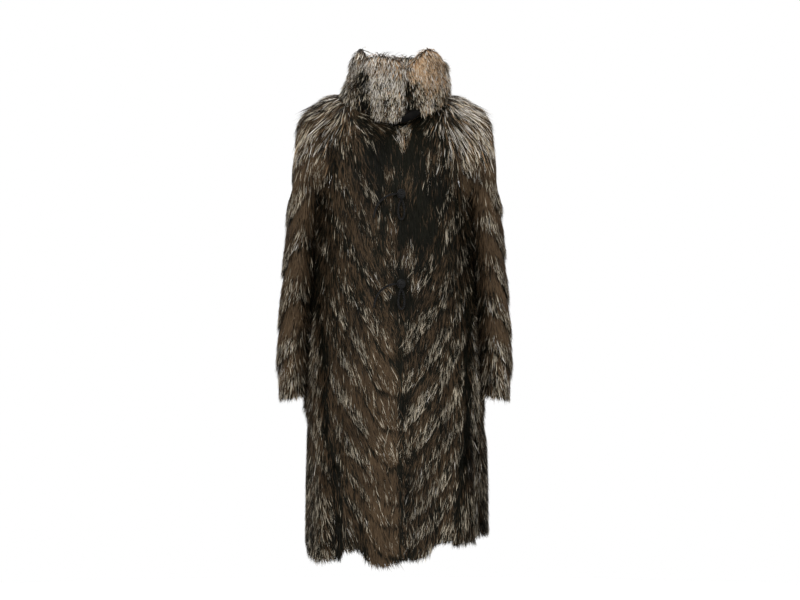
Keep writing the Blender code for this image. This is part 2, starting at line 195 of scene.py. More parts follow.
# How far hair tips stand out: share of the strip's height, lift
BODY_LIFT = ((0, 0.003), (0.12, 0.004), (0.6, 0.0), (0.92, -0.004), (1, -0.005))
SLEEVE_LIFT = ((0, 0.001), (0.14, 0.002), (0.6, 0.0), (0.92, -0.004), (1, -0.006))
GIRTH_RADIUS = 0.195  # turns an angle round the body into a distance
SLEEVE_CENTRE = 0.18  # how far out the sleeve's inner side lies
SLEEVE_ARC = 0.0015  # metres round the sleeve for each degree
SLEEVE_LOCK_ARC = 0.0014  # the same, for its locks and streaks
COLLAR_ARC = 0.0017
SHORTEST = 0.012  # no hair by an edge is cut shorter
HIDE_DEPTH = 0.011  # how far the hide lies below the fur's reach
STRIP_BULGE = 0.003  # how much deeper the hide lies at a strip's top than at its edge
COLLAR_HIDE_DEPTH = 0.008
COLLAR_WALL = 0.0115
HEM_INSET = 0.024  # how far the hide ends above the fur's hem
CHARCOAL, TAUPE, SILVER, GINGER, PALE = range(5)
KINDS = 5
SHADES = 12  # steps of light and dark within each kind of hair

# Mixes of hair: shares of charcoal, taupe, silver-tipped, ginger and pale
# painted shadow: the top of each strip, under the overhanging hair of the strip above
STRIP_SHADOW = (0.90, 0.10, 0.0, 0.0, 0.0)
EDGE_LOBE = (0.08, 0.88, 0.04, 0.0, 0.0)
# painted shade on the body's side under the arm
UNDER_ARM_SHADE = (0.88, 0.11, 0.01, 0.0, 0.0)
PALE_COLUMN = (0.24, 0.32, 0.38, 0.0, 0.06)
# painted shade down the skirt's valleys and in its folds
SKIRT_VALLEY_SHADE = (0.93, 0.07, 0.0, 0.0, 0.0)
SKIRT_FOLD_SHADE = (0.90, 0.09, 0.01, 0.0, 0.0)
DARK_CHEST = (0.955, 0.042, 0.003, 0.0, 0.0)
FRONT_EDGE = (0.95, 0.05, 0.0, 0.0, 0.0)
BROWN_SHOULDER = (0.46, 0.44, 0.08, 0.01, 0.01)
CUFF_MIX = (0.32, 0.28, 0.30, 0.0, 0.10)
BROWN_CAP = (0.30, 0.62, 0.07, 0.0, 0.01)
INNER_SLEEVE = (0.80, 0.15, 0.05, 0.0, 0.0)
DARK_RIM = (0.72, 0.24, 0.04, 0.0, 0.0)
COLLAR_MIX = {  # below and at the top
    "collar_front_right": ((0.19, 0.11, 0.28, 0.03, 0.39), (0.03, 0.34, 0.06, 0.22, 0.35)),
    "collar_front_left": ((0.30, 0.34, 0.26, 0.06, 0.04), (0.02, 0.20, 0.04, 0.62, 0.12)),
    "collar_back": ((0.30, 0.32, 0.28, 0.02, 0.08), (0.10, 0.24, 0.22, 0.04, 0.40)),
}
RIGHT_LOBE_END = (0.27, 0.28, 0.27, 0.04, 0.14)
LEFT_LOBE_TAIL = (0.04, 0.28, 0.16, 0.36, 0.16)
COLLAR_SIDE_RIM = (0.04, 0.20, 0.12, 0.24, 0.40)
COLLAR_INSIDE = (0.55, 0.35, 0.10, 0.0, 0.0)
# painted shadow in the collar's fold groove and in the gap between its front lobes
COLLAR_GROOVE_SHADOW = (0.84, 0.05, 0.10, 0.0, 0.01)
LOBE_GAP_SHADOW = (0.90, 0.08, 0.02, 0.0, 0.0)
UNDER_COLLAR = (0.97, 0.03, 0.0, 0.0, 0.0)


def between(table, place):
    """Reads a table at a place between its rows, on a smooth curve through them."""
    rows = np.array(table, float)
    keys = rows[:, 0]
    place = min(max(place, keys[0]), keys[-1])
    low = min(int(np.searchsorted(keys, place, side="right")) - 1, len(keys) - 2)
    span = keys[low + 1] - keys[low]
    share = (place - keys[low]) / span
    slopes = np.gradient(rows, keys, axis=0)
    start, end = rows[low], rows[low + 1]
    rise, fall = slopes[low] * span, slopes[low + 1] * span
    squared, cubed = share**2, share**3
    return (
        (2 * cubed - 3 * squared + 1) * start
        + (cubed - 2 * squared + share) * rise
        + (3 * squared - 2 * cubed) * end
        + (cubed - squared) * fall
    )


def smooth(value):
    """0 below 0, 1 above 1, and a soft rise between."""
    value = np.clip(value, 0, 1)
    return value * value * (3 - 2 * value)


def rise(value, start, width):
    """0 up to the start, and 1 from a width past it."""
    return smooth((value - start) / width)


def fall(value, end, width):
    """0 from the end upwards, and 1 from a width below it."""
    return smooth((end - value) / width)


def read_off(table, place):
    """Reads a table of pairs at each place, on straight lines between its rows."""
    keys, values = zip(*table, strict=True)
    return np.interp(place, keys, values)


def unit(vectors):
    return vectors / np.maximum(np.linalg.norm(vectors, axis=-1, keepdims=True), 1e-12)


def rounded(value, squareness):
    """A sine or cosine, pushed out towards the corners of a squarer oval."""
    return np.sign(value) * np.abs(value) ** (2 / squareness)


def hem_wave(angles):
    """How far the hem lies below or above its level at these angles."""
    rows = np.array(HEM_WAVE, float)
    angles = np.mod(angles, 360)
    low = np.searchsorted(rows[:, 0], angles, side="right") - 1
    low = np.clip(low, 0, len(rows) - 2)
    share = smooth((angles - rows[low, 0]) / (rows[low + 1, 0] - rows[low, 0]))
    return rows[low, 1] + (rows[low + 1, 1] - rows[low, 1]) * share - HEM_LEVEL_HEIGHT


def fold_depth(angles, heights):
    """How far the folds press the wall in."""
    depth = np.zeros(len(angles))
    for middle, half_width, most, top in HEM_FOLDS:
        away = np.abs((angles - middle + 180) % 360 - 180) / half_width
        down = np.clip((top - heights) / (top - HEM_LEVEL_HEIGHT), 0, 1)
        depth += most * np.cos(np.clip(away, 0, 1) * math.pi / 2) ** 2 * down
    return depth


def plain_row(angles, level):
    """Points of the body's outer surface at one level, before its folds."""
    _, side, front, back, half_width, front_depth, back_depth, square = between(
        BODY_SECTIONS, level
    )
    sine, cosine = np.sin(np.radians(angles)), np.cos(np.radians(angles))
    depth = np.where(cosine > 0, front_depth, back_depth)
    centre = np.where(cosine > 0, front, back)
    height = side + (centre - side) * cosine**2
    height += hem_wave(angles) * max(1 - level / HEM_WAVE_REACH, 0) ** 2
    across = half_width * rounded(sine, square)
    return np.stack((across, -depth * rounded(cosine, square), height), axis=-1)


def body_row(angles, level, inwards=0.0):
    """One level of the body's wall, and the direction that it faces."""
    angles = np.asarray(angles, float)
    low, high = max(level - 0.004, 0), min(level + 0.004, NECK_LEVEL)
    across = plain_row(angles + 0.5, level) - plain_row(angles - 0.5, level)
    along = plain_row(angles, high) - plain_row(angles, low)
    facing = unit(np.cross(across, along))
    points = plain_row(angles, level)
    depth = inwards + fold_depth(angles, points[:, 2])
    return points - facing * depth[:, None], facing


def armhole_spread(level):
    """Half the angle that the armhole takes up at this level."""
    share = (level - UNDERARM_LEVEL) / (SHOULDER_LEVEL - UNDERARM_LEVEL)
    if not 0 < share < 1:
        return 0.0
    return ARMHOLE_SPREAD * 2 * math.sqrt(share * (1 - share))


def armhole_levels():
    span = (SHOULDER_LEVEL - UNDERARM_LEVEL) / 2
    turns = [math.pi * step / ARMHOLE_STEPS for step in range(ARMHOLE_STEPS + 1)]
    return [UNDERARM_LEVEL + span * (1 - math.cos(turn)) for turn in turns]


def opening_angle(level):
    """The angle at which the front opening's straight line lies."""
    half_width, square = between(BODY_SECTIONS, level)[[4, 7]]
    return math.degrees(math.asin((OPENING_X / half_width) ** (square / 2)))


class Surface:
    """A grid of points on the fur's reach, with the way each one faces. turns, levels and
    from_edge tell where a place lies: its angle, how far up, and how far from the edge."""

    def __init__(self, points, facing, turns, levels, from_edge, closed):
        self.points, self.facing = points, facing
        self.turns, self.levels, self.from_edge = turns, levels, from_edge
        self.closed = closed
        self.along = np.gradient(points, axis=0)
        self.over = np.gradient(points, axis=1)
        if closed:
            step = (points[:, 1] - points[:, -2]) / 2
            self.over[:, 0] = self.over[:, -1] = step

    def read(self, grid, row, column):
        """A value between the four nearest points of the grid."""
        rows, columns = grid.shape[:2]
        r = np.clip(np.floor(row).astype(int), 0, rows - 2)
        c = np.clip(np.floor(column).astype(int), 0, columns - 2)
        up, right = row - r, column - c
        if grid.ndim > 2:
            up, right = up[:, None], right[:, None]
        low = grid[r, c] * (1 - right) + grid[r, c + 1] * right
        high = grid[r + 1, c] * (1 - right) + grid[r + 1, c + 1] * right
        return low * (1 - up) + high * up

    def scatter(self, count, random, inside):
        """Evenly scattered rows and columns of the part where inside(turn, level)."""
        p = self.points
        crossed = np.cross(p[1:, 1:] - p[:-1, :-1], p[1:, :-1] - p[:-1, 1:])
        area = np.linalg.norm(crossed, axis=2).ravel()
        rows, columns, found = [], [], 0
        while found < count:
            cell = random.choice(len(area), size=count, p=area / area.sum())
            row, column = np.divmod(cell, p.shape[1] - 1)
            row, column = row + random.random(count), column + random.random(count)
            kept = inside(
                self.read(self.turns, row, column), self.read(self.levels, row, column)
            )
            rows.append(row[kept])
            columns.append(column[kept])
            found += int(kept.sum())
        return np.concatenate(rows)[:count], np.concatenate(columns)[:count]

    def walk(self, row, column, direction, length):
        """Follows the surface this way, and straight on past its edge: the new row and
        column, the point there, the direction bent to the surface and the way it faces."""
        a, b = self.read(self.along, row, column), self.read(self.over, row, column)
        aa, ab, bb = (np.sum(u * v, axis=1) for u, v in ((a, a), (a, b), (b, b)))
        da, db = np.sum(direction * a, axis=1), np.sum(direction * b, axis=1)
        scale = length / np.maximum(aa * bb - ab * ab, 1e-14)
        new_row = row + (da * bb - db * ab) * scale
        new_column = column + (db * aa - da * ab) * scale
        last_row, last_column = self.points.shape[0] - 1, self.points.shape[1] - 1
        kept_row = np.clip(new_row, 0, last_row)
        if self.closed:
            kept_column = np.mod(new_column, last_column)
            past = np.zeros(len(row))
        else:
            kept_column = np.clip(new_column, 0, last_column)
            past = new_column - kept_column
        point = self.read(self.points, kept_row, kept_column)
        point = point + a * (new_row - kept_row)[:, None] + b * past[:, None]
        lift = unit(self.read(self.facing, kept_row, kept_column))
        bent = direction - lift * np.sum(direction * lift, axis=1, keepdims=True)
        return kept_row, kept_column, point, unit(bent), lift


def climb_from_edge(points):
    """Distance along each column from its first row."""
    climb = np.linalg.norm(np.diff(points, axis=0), axis=2)
    return np.cumsum(np.vstack((np.zeros(points.shape[1]), climb)), axis=0)


def grid_facing(points, closed):
    """The way a grid's points face, away from its middle."""
    along, over = np.gradient(points, axis=0), np.gradient(points, axis=1)
    if closed:
        over[:, 0] = over[:, -1] = (points[:, 1] - points[:, -2]) / 2
    facing = unit(np.cross(over, along))
    middle = points.mean(axis=1, keepdims=True)
    if np.mean(np.sum(facing * (points - middle), axis=2)) < 0:
        facing = -facing
    return facing


def whole_body():
    """The body all round, from hem to neck, as if it had no armholes."""
    angles = np.linspace(0, 360, 181)
    levels = np.linspace(0, NECK_LEVEL, 116)
    points = np.array([body_row(angles, level)[0] for level in levels])
    shape = points.shape[:2]
    turns = np.broadcast_to(angles, shape)
    heights = np.broadcast_to(levels[:, None], shape)
    facing = grid_facing(points, True)
    return Surface(points, facing, turns, heights, climb_from_edge(points), True)


def panel_rows(edges, columns):
    """A panel's hide from near the hem to the neck: its points, facings and angles."""
    levels = [
        *np.linspace(HEM_INSET, UNDERARM_LEVEL, 40)[:-1], *armhole_levels(),
        *np.linspace(SHOULDER_LEVEL, NECK_LEVEL, 7)[1:],
    ]
    angles = np.array([np.linspace(*edges(level), columns + 1) for level in levels])
    rows = [body_row(row, level) for row, level in zip(angles, levels, strict=True)]
    return np.array([r[0] for r in rows]), np.array([r[1] for r in rows]), angles


def sleeve_ring(section, side, steps):
    """One ring of the sleeve, from its outer side over the front."""
    outer_x, outer_z, inner_x, inner_z, half_depth, middle = section
    outer = np.array((side * outer_x, middle, outer_z))
    inner = np.array((side * inner_x, middle, inner_z))
    turn = 2 * math.pi * np.arange(steps) / steps
    across = rounded(np.cos(turn), SLEEVE_SQUARENESS)[:, None]
    forward = rounded(np.sin(turn), SLEEVE_SQUARENESS)[:, None]
    ring = (outer + inner) / 2 + (outer - inner) / 2 * across
    return ring + np.array((0, -half_depth, 0)) * forward


def armhole_ring(side):
    """The armhole's edge, from the shoulder down the front and up the back."""
    levels = armhole_levels()
    front = [(90 - armhole_spread(k), k) for k in reversed(levels)]
    back = [(90 + armhole_spread(k), k) for k in levels[1:-1]]
    return np.array([body_row([side * a], k)[0][0] for a, k in front + back])


def whole_sleeve(side):
    """The sleeve from its cuff to the armhole, a closed ring in each row."""
    steps = 2 * ARMHOLE_STEPS
    rings = [armhole_ring(side)]
    rings += [sleeve_ring(section, side, steps) for section in SLEEVE_SECTIONS]
    rings = np.array(rings)
    keys = np.arange(len(rings), dtype=float)
    keyed = np.concatenate((keys[:, None], rings.reshape(len(rings), -1)), axis=1)
    finer = np.linspace(0, len(rings) - 1, 56)[::-1]
    points = np.array([between(keyed, k)[1:].reshape(steps, 3) for k in finer])
    points = np.concatenate((points, points[:, :1]), axis=1)
    shape = points.shape[:2]
    turns = np.broadcast_to(np.linspace(0, 360, steps + 1), shape)
    levels = np.broadcast_to(finer[:, None], shape)
    facing = grid_facing(points, True)
    return Surface(points, facing, turns, levels, climb_from_edge(points), True)


def drawn_in(points):
    """Leans the collar in towards the neck as it rises, more on the wearer's right."""
    x, z = points[:, :, 0], points[:, :, 2]
    up, higher = rise(z, 0.03, 0.06), rise(z, 0.09, 0.06)
    most = np.where(x < 0, 0.030 * up - 0.006 * higher, 0.013 * up + 0.008 * higher)
    x = np.sign(x) * (np.abs(x) - most * rise(np.abs(x), 0.04, 0.09))
    return np.stack((x, points[:, :, 1], z), axis=2)


def whole_roll(table):
    """A collar roll from its outer base over the top to its inner base. turns is its
    angle round the neck and levels how far round the roll a place lies, from 0 to 1."""
    first, last = table[0][0], table[-1][0]
    steps = max(round((last - first) / 4.0), 14)
    around = np.linspace(0, len(COLLAR_PROFILE) - 1, 28)
    profile = np.array([(k, *row) for k, row in enumerate(COLLAR_PROFILE)], float)
    profile = np.array([between(profile, k)[1:] for k in around])
    points, angles = [], np.linspace(first, last, steps + 1)
    for angle in angles:
        _, top, thickness, _ = between(table, angle)
        base = body_row([angle], NECK_LEVEL)[0][0]
        row = base + unit(base * (1, 1, 0)) * (thickness * profile[:, 1])[:, None]
        row[:, 2] += (top - base[2]) * profile[:, 0]
        points.append(row)
    points = drawn_in(np.array(points))
    shape = points.shape[:2]
    levels = np.broadcast_to(np.linspace(0, 1, len(around)), shape)
    turns = np.broadcast_to(angles[:, None], shape)
    facing = grid_facing(points, False)
    return Surface(points, facing, turns, levels, turns, False)


def lattice(across, along, seed):
    """A repeatable random number for each cell of a grid."""
    table = np.random.default_rng(seed).random((512, 512))
    return table[np.floor(across).astype(int) % 512, np.floor(along).astype(int) % 512]


def waver(across, along, seed):
    """Soft noise from 0 to 1 with one hill a unit."""
    a, b = np.floor(across), np.floor(along)
    s, t = smooth(across - a), smooth(along - b)
    corner = [lattice(a + i, b + j, seed) for i in (0, 1) for j in (0, 1)]
    low = corner[0] + (corner[1] - corner[0]) * t
    high = corner[2] + (corner[3] - corner[2]) * t
    return low + (high - low) * s


def strip_share(height, reach, edges, slope):
    """How far up its strip a place lies: 0 at the lower edge and nearly 1 at the top."""
    edges = np.array(edges)
    ragged = 0.024 * (waver(reach / 0.055 + 9, height / 0.10 + 40, 3) - 0.5)
    ragged += 0.014 * (waver(reach / 0.013 + 70, height / 0.06 + 90, 4) - 0.5)
    place = np.interp(height - slope * np.abs(reach) + ragged, edges, np.arange(len(edges)))
    return place - np.floor(place)


def pick(weights, draw):
    """The kind of hair that each draw from 0 to 1 falls on."""
    weights = np.array(np.broadcast_arrays(*weights, draw)[:-1])
    shares = np.cumsum(weights / weights.sum(axis=0), axis=0)
    return np.minimum((draw > shares).sum(axis=0), KINDS - 1)


def streaky(across, along, random, width=0.0026, length=0.045):
    """Draws that neighbours along the hair mostly share, so that colours form streaks."""
    column = across / width + 100
    cell = lattice(column, along / length + 7 * lattice(column, column * 0, 5) + 50, 6)
    alone = random.random(len(across))
    return np.where(random.random(len(across)) < 0.42, cell, alone)


def blend(low, high, share):
    """Mixes two lists of weights by a share for each hair."""
    return [a + (b - a) * share for a, b in zip(low, high, strict=True)]


def layered(weights, *coats):
    """Lays mixes over the weights one after another, each by its share."""
    for mix, share in coats:
        weights = blend(weights, mix, share)
    return weights


class Hairs:
    """Guard hairs that are rooted all over one part of a surface."""

    def __init__(self, surface, count, seed, inside):
        self.surface, self.count = surface, count
        self.random = np.random.default_rng(seed)
        self.row, self.column = surface.scatter(count, self.random, inside)
        read = surface.read
        self.point = read(surface.points, self.row, self.column)
        self.facing = unit(read(surface.facing, self.row, self.column))
        self.turn = read(surface.turns, self.row, self.column)
        self.level = read(surface.levels, self.row, self.column)
        self.from_edge = read(surface.from_edge, self.row, self.column)

    def lay_along(self, direction, wander=0.15):
        """The hair's direction along the surface, each one a little astray."""
        away = direction + self.random.normal(0, wander, (self.count, 3))
        away -= self.facing * np.sum(away * self.facing, axis=1, keepdims=True)
        self.lay = unit(away)

    def stretch(self, length):
        """Finds where the hair's middle and tip lie over the surface."""
        half = length / 2
        row, column, self.over_bend, lay, self.bend_lift = self.surface.walk(
            self.row, self.column, self.lay, half
        )
        last = self.surface.read(self.surface.points, row, column)
        past = np.linalg.norm(self.over_bend - last, axis=1, keepdims=True)
        _, _, over_tip, _, self.tip_lift = self.surface.walk(row, column, lay, half)
        self.over_tip = np.where(past > 1e-4, self.over_bend + lay * half[:, None], over_tip)

    def straighten(self, length, share):
        """Lets hairs run on straight, over the edge of what they grow on."""
        share = share[:, None]
        run = self.lay * length[:, None]
        self.over_bend = self.over_bend + (self.point + run * 0.5 - self.over_bend) * share
        self.over_tip = self.over_tip + (self.point + run - self.over_tip) * share
        self.bend_lift = unit(self.bend_lift * (1 - share) + self.facing * share)
        self.tip_lift = unit(self.tip_lift * (1 - share) + self.facing * share)

    def gather(self, across, along, sideways, size=0.009, pull=0.75):
        """Draws the tips of neighbours together into pointed locks."""
        row = np.floor(along / 0.034 + 0.5 * lattice(across / size, across * 0, 14))
        place = across / size + 60 + lattice(row, row * 0, 15)
        place = place + 0.8 * waver(across / 0.03 + 5, along / 0.03 + 8, 16)
        away = (place - np.floor(place) - 0.5) * size
        self.over_tip = self.over_tip - sideways * (away * pull)[:, None]
        self.over_bend = self.over_bend - sideways * (away * pull * 0.3)[:, None]

    def finish(self, tip_height, kind, shade, root_depth=HIDE_DEPTH):
        """Sets each hair's root, bend and tip."""
        self.root = self.point - self.facing * root_depth
        rise = (root_depth + tip_height)[:, None]
        self.bend = self.over_bend + self.bend_lift * (rise * 0.66 - root_depth)
        self.tip = self.over_tip + self.tip_lift * tip_height[:, None]
        roll = self.random.normal(0, 0.32, (self.count, 1))
        across = unit(np.cross(self.tip - self.root, self.facing))
        self.across = unit(across * np.cos(roll) + self.facing * np.sin(roll))
        self.width = self.random.uniform(0.0007, 0.0013, self.count)
        self.kind = kind
        self.shade = np.clip(shade, 0, 0.999)


def fur_piece(name, hairs, finishes):
    """One mesh of flat tapering hairs. Its map runs from root to tip, in a row of its own
    for each kind and shade."""
    count = hairs.count
    wide = hairs.across * hairs.width[:, None]
    corners = np.stack(
        (
            hairs.root - wide, hairs.root + wide, hairs.bend + wide * 0.9,
            hairs.bend - wide * 0.9, hairs.tip,
        ),
        axis=1,
    )
    mesh = bpy.data.meshes.new(name)
    mesh.vertices.add(count * 5)
    mesh.vertices.foreach_set("co", corners.astype(np.float32).ravel())
    starts = np.arange(count) * 5
    loops = (starts[:, None] + np.array((0, 1, 2, 3, 3, 2, 4))).ravel()
    mesh.loops.add(len(loops))
    mesh.loops.foreach_set("vertex_index", loops.astype(np.int32))
    mesh.polygons.add(count * 2)
    firsts = (np.arange(count)[:, None] * 7 + np.array((0, 4))).ravel()
    mesh.polygons.foreach_set("loop_start", firsts.astype(np.int32))
    mesh.polygons.foreach_set("material_index", np.repeat(hairs.kind, 2).astype(np.int32))
    step = np.floor(hairs.shade * SHADES)
    low = (hairs.kind + (step + 0.15) / SHADES) / KINDS
    high = (hairs.kind + (step + 0.85) / SHADES) / KINDS
    middle = (low + high) / 2
    near, far, tip = 0.02, 0.50, 0.98
    rows = np.stack((low, high, high, low, low, high, middle), axis=1)
    along = np.tile(np.array((near, near, far, far, far, far, tip)), (count, 1))
    chart = mesh.uv_layers.new(name="OFBake")
    chart.data.foreach_set("uv", np.stack((along, rows), axis=2).astype(np.float32).ravel())
    for finish in finishes:
        mesh.materials.append(finish)
    mesh.update(calc_edges=True)
    mesh.validate()
    mesh.shade_smooth()
    return placed(name, mesh)


def placed(name, data):
    """A new object in the scene."""
    made = bpy.data.objects.new(name, data)
    bpy.context.scene.collection.objects.link(made)
    return made


def settle_faces(made):
    """Turns every face outwards."""
    bpy.context.view_layer.objects.active = made
    made.select_set(True)
    bpy.ops.object.mode_set(mode="EDIT")
    bpy.ops.mesh.select_all(action="SELECT")
    bpy.ops.mesh.normals_make_consistent(inside=False)
    bpy.ops.object.mode_set(mode="OBJECT")
    made.select_set(False)


def closed_wall(name, outer, inner, finishes, tube=False):
    """A closed wall between two grids of points, its inner side in the second finish."""
    rows, columns = outer.shape[:2]
    if tube:
        outer, inner = outer[:, :-1], inner[:, :-1]
        columns -= 1
    points = np.concatenate((outer.reshape(-1, 3), inner.reshape(-1, 3)))
    inside = rows * columns
    steps = columns if tube else columns - 1
    faces, slots = [], []
    for row in range(rows - 1):
        for column in range(steps):
            a, b = row * columns + column, row * columns + (column + 1) % columns
            faces.append((a, b, b + columns, a + columns))
            faces.append(tuple(inside + k for k in (a, a + columns, b + columns, b)))
            slots += [0, 1]
    last_row, last_column = (rows - 1) * columns, columns - 1
    for column in range(steps):
        a, b = column, (column + 1) % columns
        faces.append((b, a, inside + a, inside + b))
        faces.append((a + last_row, b + last_row, inside + b + last_row, inside + a + last_row))
        slots += [0, 0]
    if not tube:
        for a in range(0, last_row, columns):
            b = a + columns
            faces.append((a, b, inside + b, inside + a))
            c, d = a + last_column, b + last_column
            faces.append((d, c, inside + c, inside + d))
            slots += [0, 0]
    mesh = bpy.data.meshes.new(name)
    mesh.from_pydata(points.tolist(), [], faces)
    for finish in finishes:
        mesh.materials.append(finish)
    mesh.polygons.foreach_set("material_index", slots)
    mesh.shade_smooth()
    mesh.set_sharp_from_angle(angle=math.radians(60))
    made = placed(name, mesh)
    settle_faces(made)
    return made


# ---------------------------------------------------------------- finishes
def fresh(name):
    """A new finish, with its nodes, links and shader."""
    made = bpy.data.materials.new(name)
    made.use_nodes = True
    tree = made.node_tree
    return made, tree.nodes, tree.links, tree.nodes["Principled BSDF"]


def ramp(nodes, stops):
    made = nodes.new("ShaderNodeValToRGB")
    elements = made.color_ramp.elements
    while len(elements) < len(stops):
        elements.new(0.5)
    for element, (place, colour) in zip(elements, stops, strict=True):
        element.position = place
        element.color = (*colour, 1)
    return made


def tint(nodes, links, shader, value, stops):
    """Colours the shader by a value, over a ramp."""
    colours = ramp(nodes, stops)
    links.new(value, colours.inputs["Fac"])
    links.new(colours.outputs["Color"], shader.inputs["Base Color"])


def emboss(nodes, links, shader, height, strength, distance):
    """Raises and sinks the surface by a value."""
    raised = nodes.new("ShaderNodeBump")
    raised.inputs["Strength"].default_value = strength
    raised.inputs["Distance"].default_value = distance
    links.new(height, raised.inputs["Height"])
    links.new(raised.outputs["Normal"], shader.inputs["Normal"])


def pattern(nodes, links, kind, place, scale, **more):
    """A texture of one kind at a place, with its scale and other settings."""
    made = nodes.new(kind)
    made.inputs["Scale"].default_value = scale
    for name, value in more.items():
        made.inputs[name].default_value = value
    links.new(place, made.inputs["Vector"])
    return made


def guard_hair(name, kind, stops, darkest=0.45, lightest=1.55):
    """One kind of hair: its colours from root to tip, lighter or darker by its row."""
    made, nodes, links, shader = fresh(name)
    chart = nodes.new("ShaderNodeUVMap")
    chart.uv_map = "OFBake"
    parts = nodes.new("ShaderNodeSeparateXYZ")
    links.new(chart.outputs["UV"], parts.inputs[0])
    colours = ramp(nodes, stops)
    links.new(parts.outputs["X"], colours.inputs["Fac"])
    light = nodes.new("ShaderNodeMapRange")
    for setting, value in (
        ("From Min", kind / KINDS), ("From Max", (kind + 1) / KINDS),
        ("To Min", darkest), ("To Max", lightest),
    ):
        light.inputs[setting].default_value = value
    links.new(parts.outputs["Y"], light.inputs["Value"])
    scaled = nodes.new("ShaderNodeVectorMath")
    scaled.operation = "SCALE"
    links.new(colours.outputs["Color"], scaled.inputs[0])
    links.new(light.outputs["Result"], scaled.inputs["Scale"])
    links.new(scaled.outputs["Vector"], shader.inputs["Base Color"])
    shader.inputs["Roughness"].default_value = 0.48
    shader.inputs["Specular IOR Level"].default_value = 0.06
    return made


def woolly(name, dark, light, scale):
    """Dense short underfur: soft noise drawn out along the lay."""
    made, nodes, links, shader = fresh(name)
    where = nodes.new("ShaderNodeTexCoord")
    drawn = nodes.new("ShaderNodeMapping")
    drawn.inputs["Scale"].default_value = (1, 1, 0.25)
    links.new(where.outputs["Object"], drawn.inputs["Vector"])
    wool = pattern(nodes, links, "ShaderNodeTexNoise", drawn.outputs["Vector"], scale, Detail=5)
    tint(nodes, links, shader, wool.outputs["Fac"], ((0.32, dark), (0.70, light)))
    emboss(nodes, links, shader, wool.outputs["Fac"], 0.5, 0.002)
    shader.inputs["Roughness"].default_value = 0.85
    shader.inputs["Specular IOR Level"].default_value = 0.2
    return made


def satin(name, dark, light):
    """Lining cloth: a fine twill with a soft shine."""
    made, nodes, links, shader = fresh(name)
    place = nodes.new("ShaderNodeTexCoord").outputs["Object"]
    twill = pattern(nodes, links, "ShaderNodeTexWave", place, 260, Distortion=0.6)
    twill.bands_direction = "DIAGONAL"
    tint(nodes, links, shader, twill.outputs["Fac"], ((0.2, dark), (0.8, light)))
    emboss(nodes, links, shader, twill.outputs["Fac"], 0.12, 0.0004)
    shader.inputs["Roughness"].default_value = 0.36
    shader.inputs["Sheen Weight"].default_value = 0.2
    return made


hair_kinds = [
    guard_hair(
        "charcoal_hair", CHARCOAL,
        ((0.0, (0.0015, 0.0015, 0.001)), (0.5, (0.0042, 0.0042, 0.0026)),
         (0.8, (0.0085, 0.0082, 0.0050)), (1.0, (0.0045, 0.004, 0.0026))),
        darkest=0.35, lightest=2.0,
    ),
    guard_hair(
        "taupe_hair", TAUPE,
        ((0.0, (0.005, 0.0035, 0.0025)), (0.35, (0.030, 0.019, 0.011)),
         (0.75, (0.088, 0.058, 0.033)), (1.0, (0.040, 0.026, 0.015))),
    ),
    guard_hair(
        "silver_tipped_hair", SILVER,
        ((0.0, (0.005, 0.004, 0.003)), (0.45, (0.022, 0.015, 0.010)),
         (0.60, (0.24, 0.205, 0.150)), (0.86, (0.47, 0.415, 0.32)), (1.0, (0.06, 0.042, 0.026))),
        darkest=0.30, lightest=2.1,
    ),
    guard_hair(
        "ginger_hair", GINGER,
        ((0.0, (0.04, 0.022, 0.012)), (0.35, (0.18, 0.10, 0.050)),
         (0.70, (0.38, 0.245, 0.135)), (1.0, (0.52, 0.42, 0.30))),
    ),
    guard_hair(
        "pale_hair", PALE,
        ((0.0, (0.03, 0.022, 0.018)), (0.40, (0.20, 0.165, 0.13)),
         (0.75, (0.80, 0.75, 0.67)), (1.0, (0.86, 0.82, 0.76))),
        darkest=0.60, lightest=1.15,
    ),
]
underfur = woolly("brown_underfur", (0.005, 0.004, 0.003), (0.018, 0.013, 0.009), 90)
collar_underfur = woolly("collar_underfur", (0.03, 0.022, 0.016), (0.10, 0.075, 0.055), 110)
lining = satin("brown_lining", (0.020, 0.012, 0.009), (0.042, 0.027, 0.020))


# ---------------------------------------------------------------- colour and lay
def round_body(turns, front):
    """Distance round the body from the middle of its front or back."""
    return np.radians((turns + (180 if front else 0)) % 360 - 180) * GIRTH_RADIUS


def chest_shade(x, z):
    """How far a place lies in the dark chest, which narrows towards the lower knot."""
    edge = 0.075 * (waver(x / 0.030 + 30, z / 0.08 + 60, 21) - 0.5)
    edge += 0.030 * (waver(x / 0.010 + 60, z / 0.04 + 30, 22) - 0.5)
    return smooth((read_off(CHEST_SPREAD, z) - np.abs(x - 0.023) + edge) / 0.075 + 0.5)


def skirt_marks(tip, z, left, front):
    """Painted shade down a valley each side of the skirt, a paler column outside it
    and painted shade under the arm."""
    outside = np.abs(tip[:, 0])
    lower = fall(z, -0.42, 0.06) * front
    heights, on_left, on_right = zip(*SKIRT_VALLEYS, strict=True)
    valley = np.where(left, np.interp(z, heights, on_left), np.interp(z, heights, on_right))
    away = np.abs(outside - valley - 0.006 * (waver(0 * z, z / 0.03, 33) - 0.5))
    valley = lower * smooth(1.7 - away / 0.0075)
    past = np.where(left, 0.202, 0.194)
    column = lower * rise(outside, 0.176, 0.008) * fall(outside, past, 0.008)
    column = column * np.where(left, 1.0, rise(z, -0.86, 0.08))
    under_arm = rise(outside, 0.163, 0.008) * (1 - lower) * fall(z, -0.20, 0.03) * front
    return valley, column, under_arm


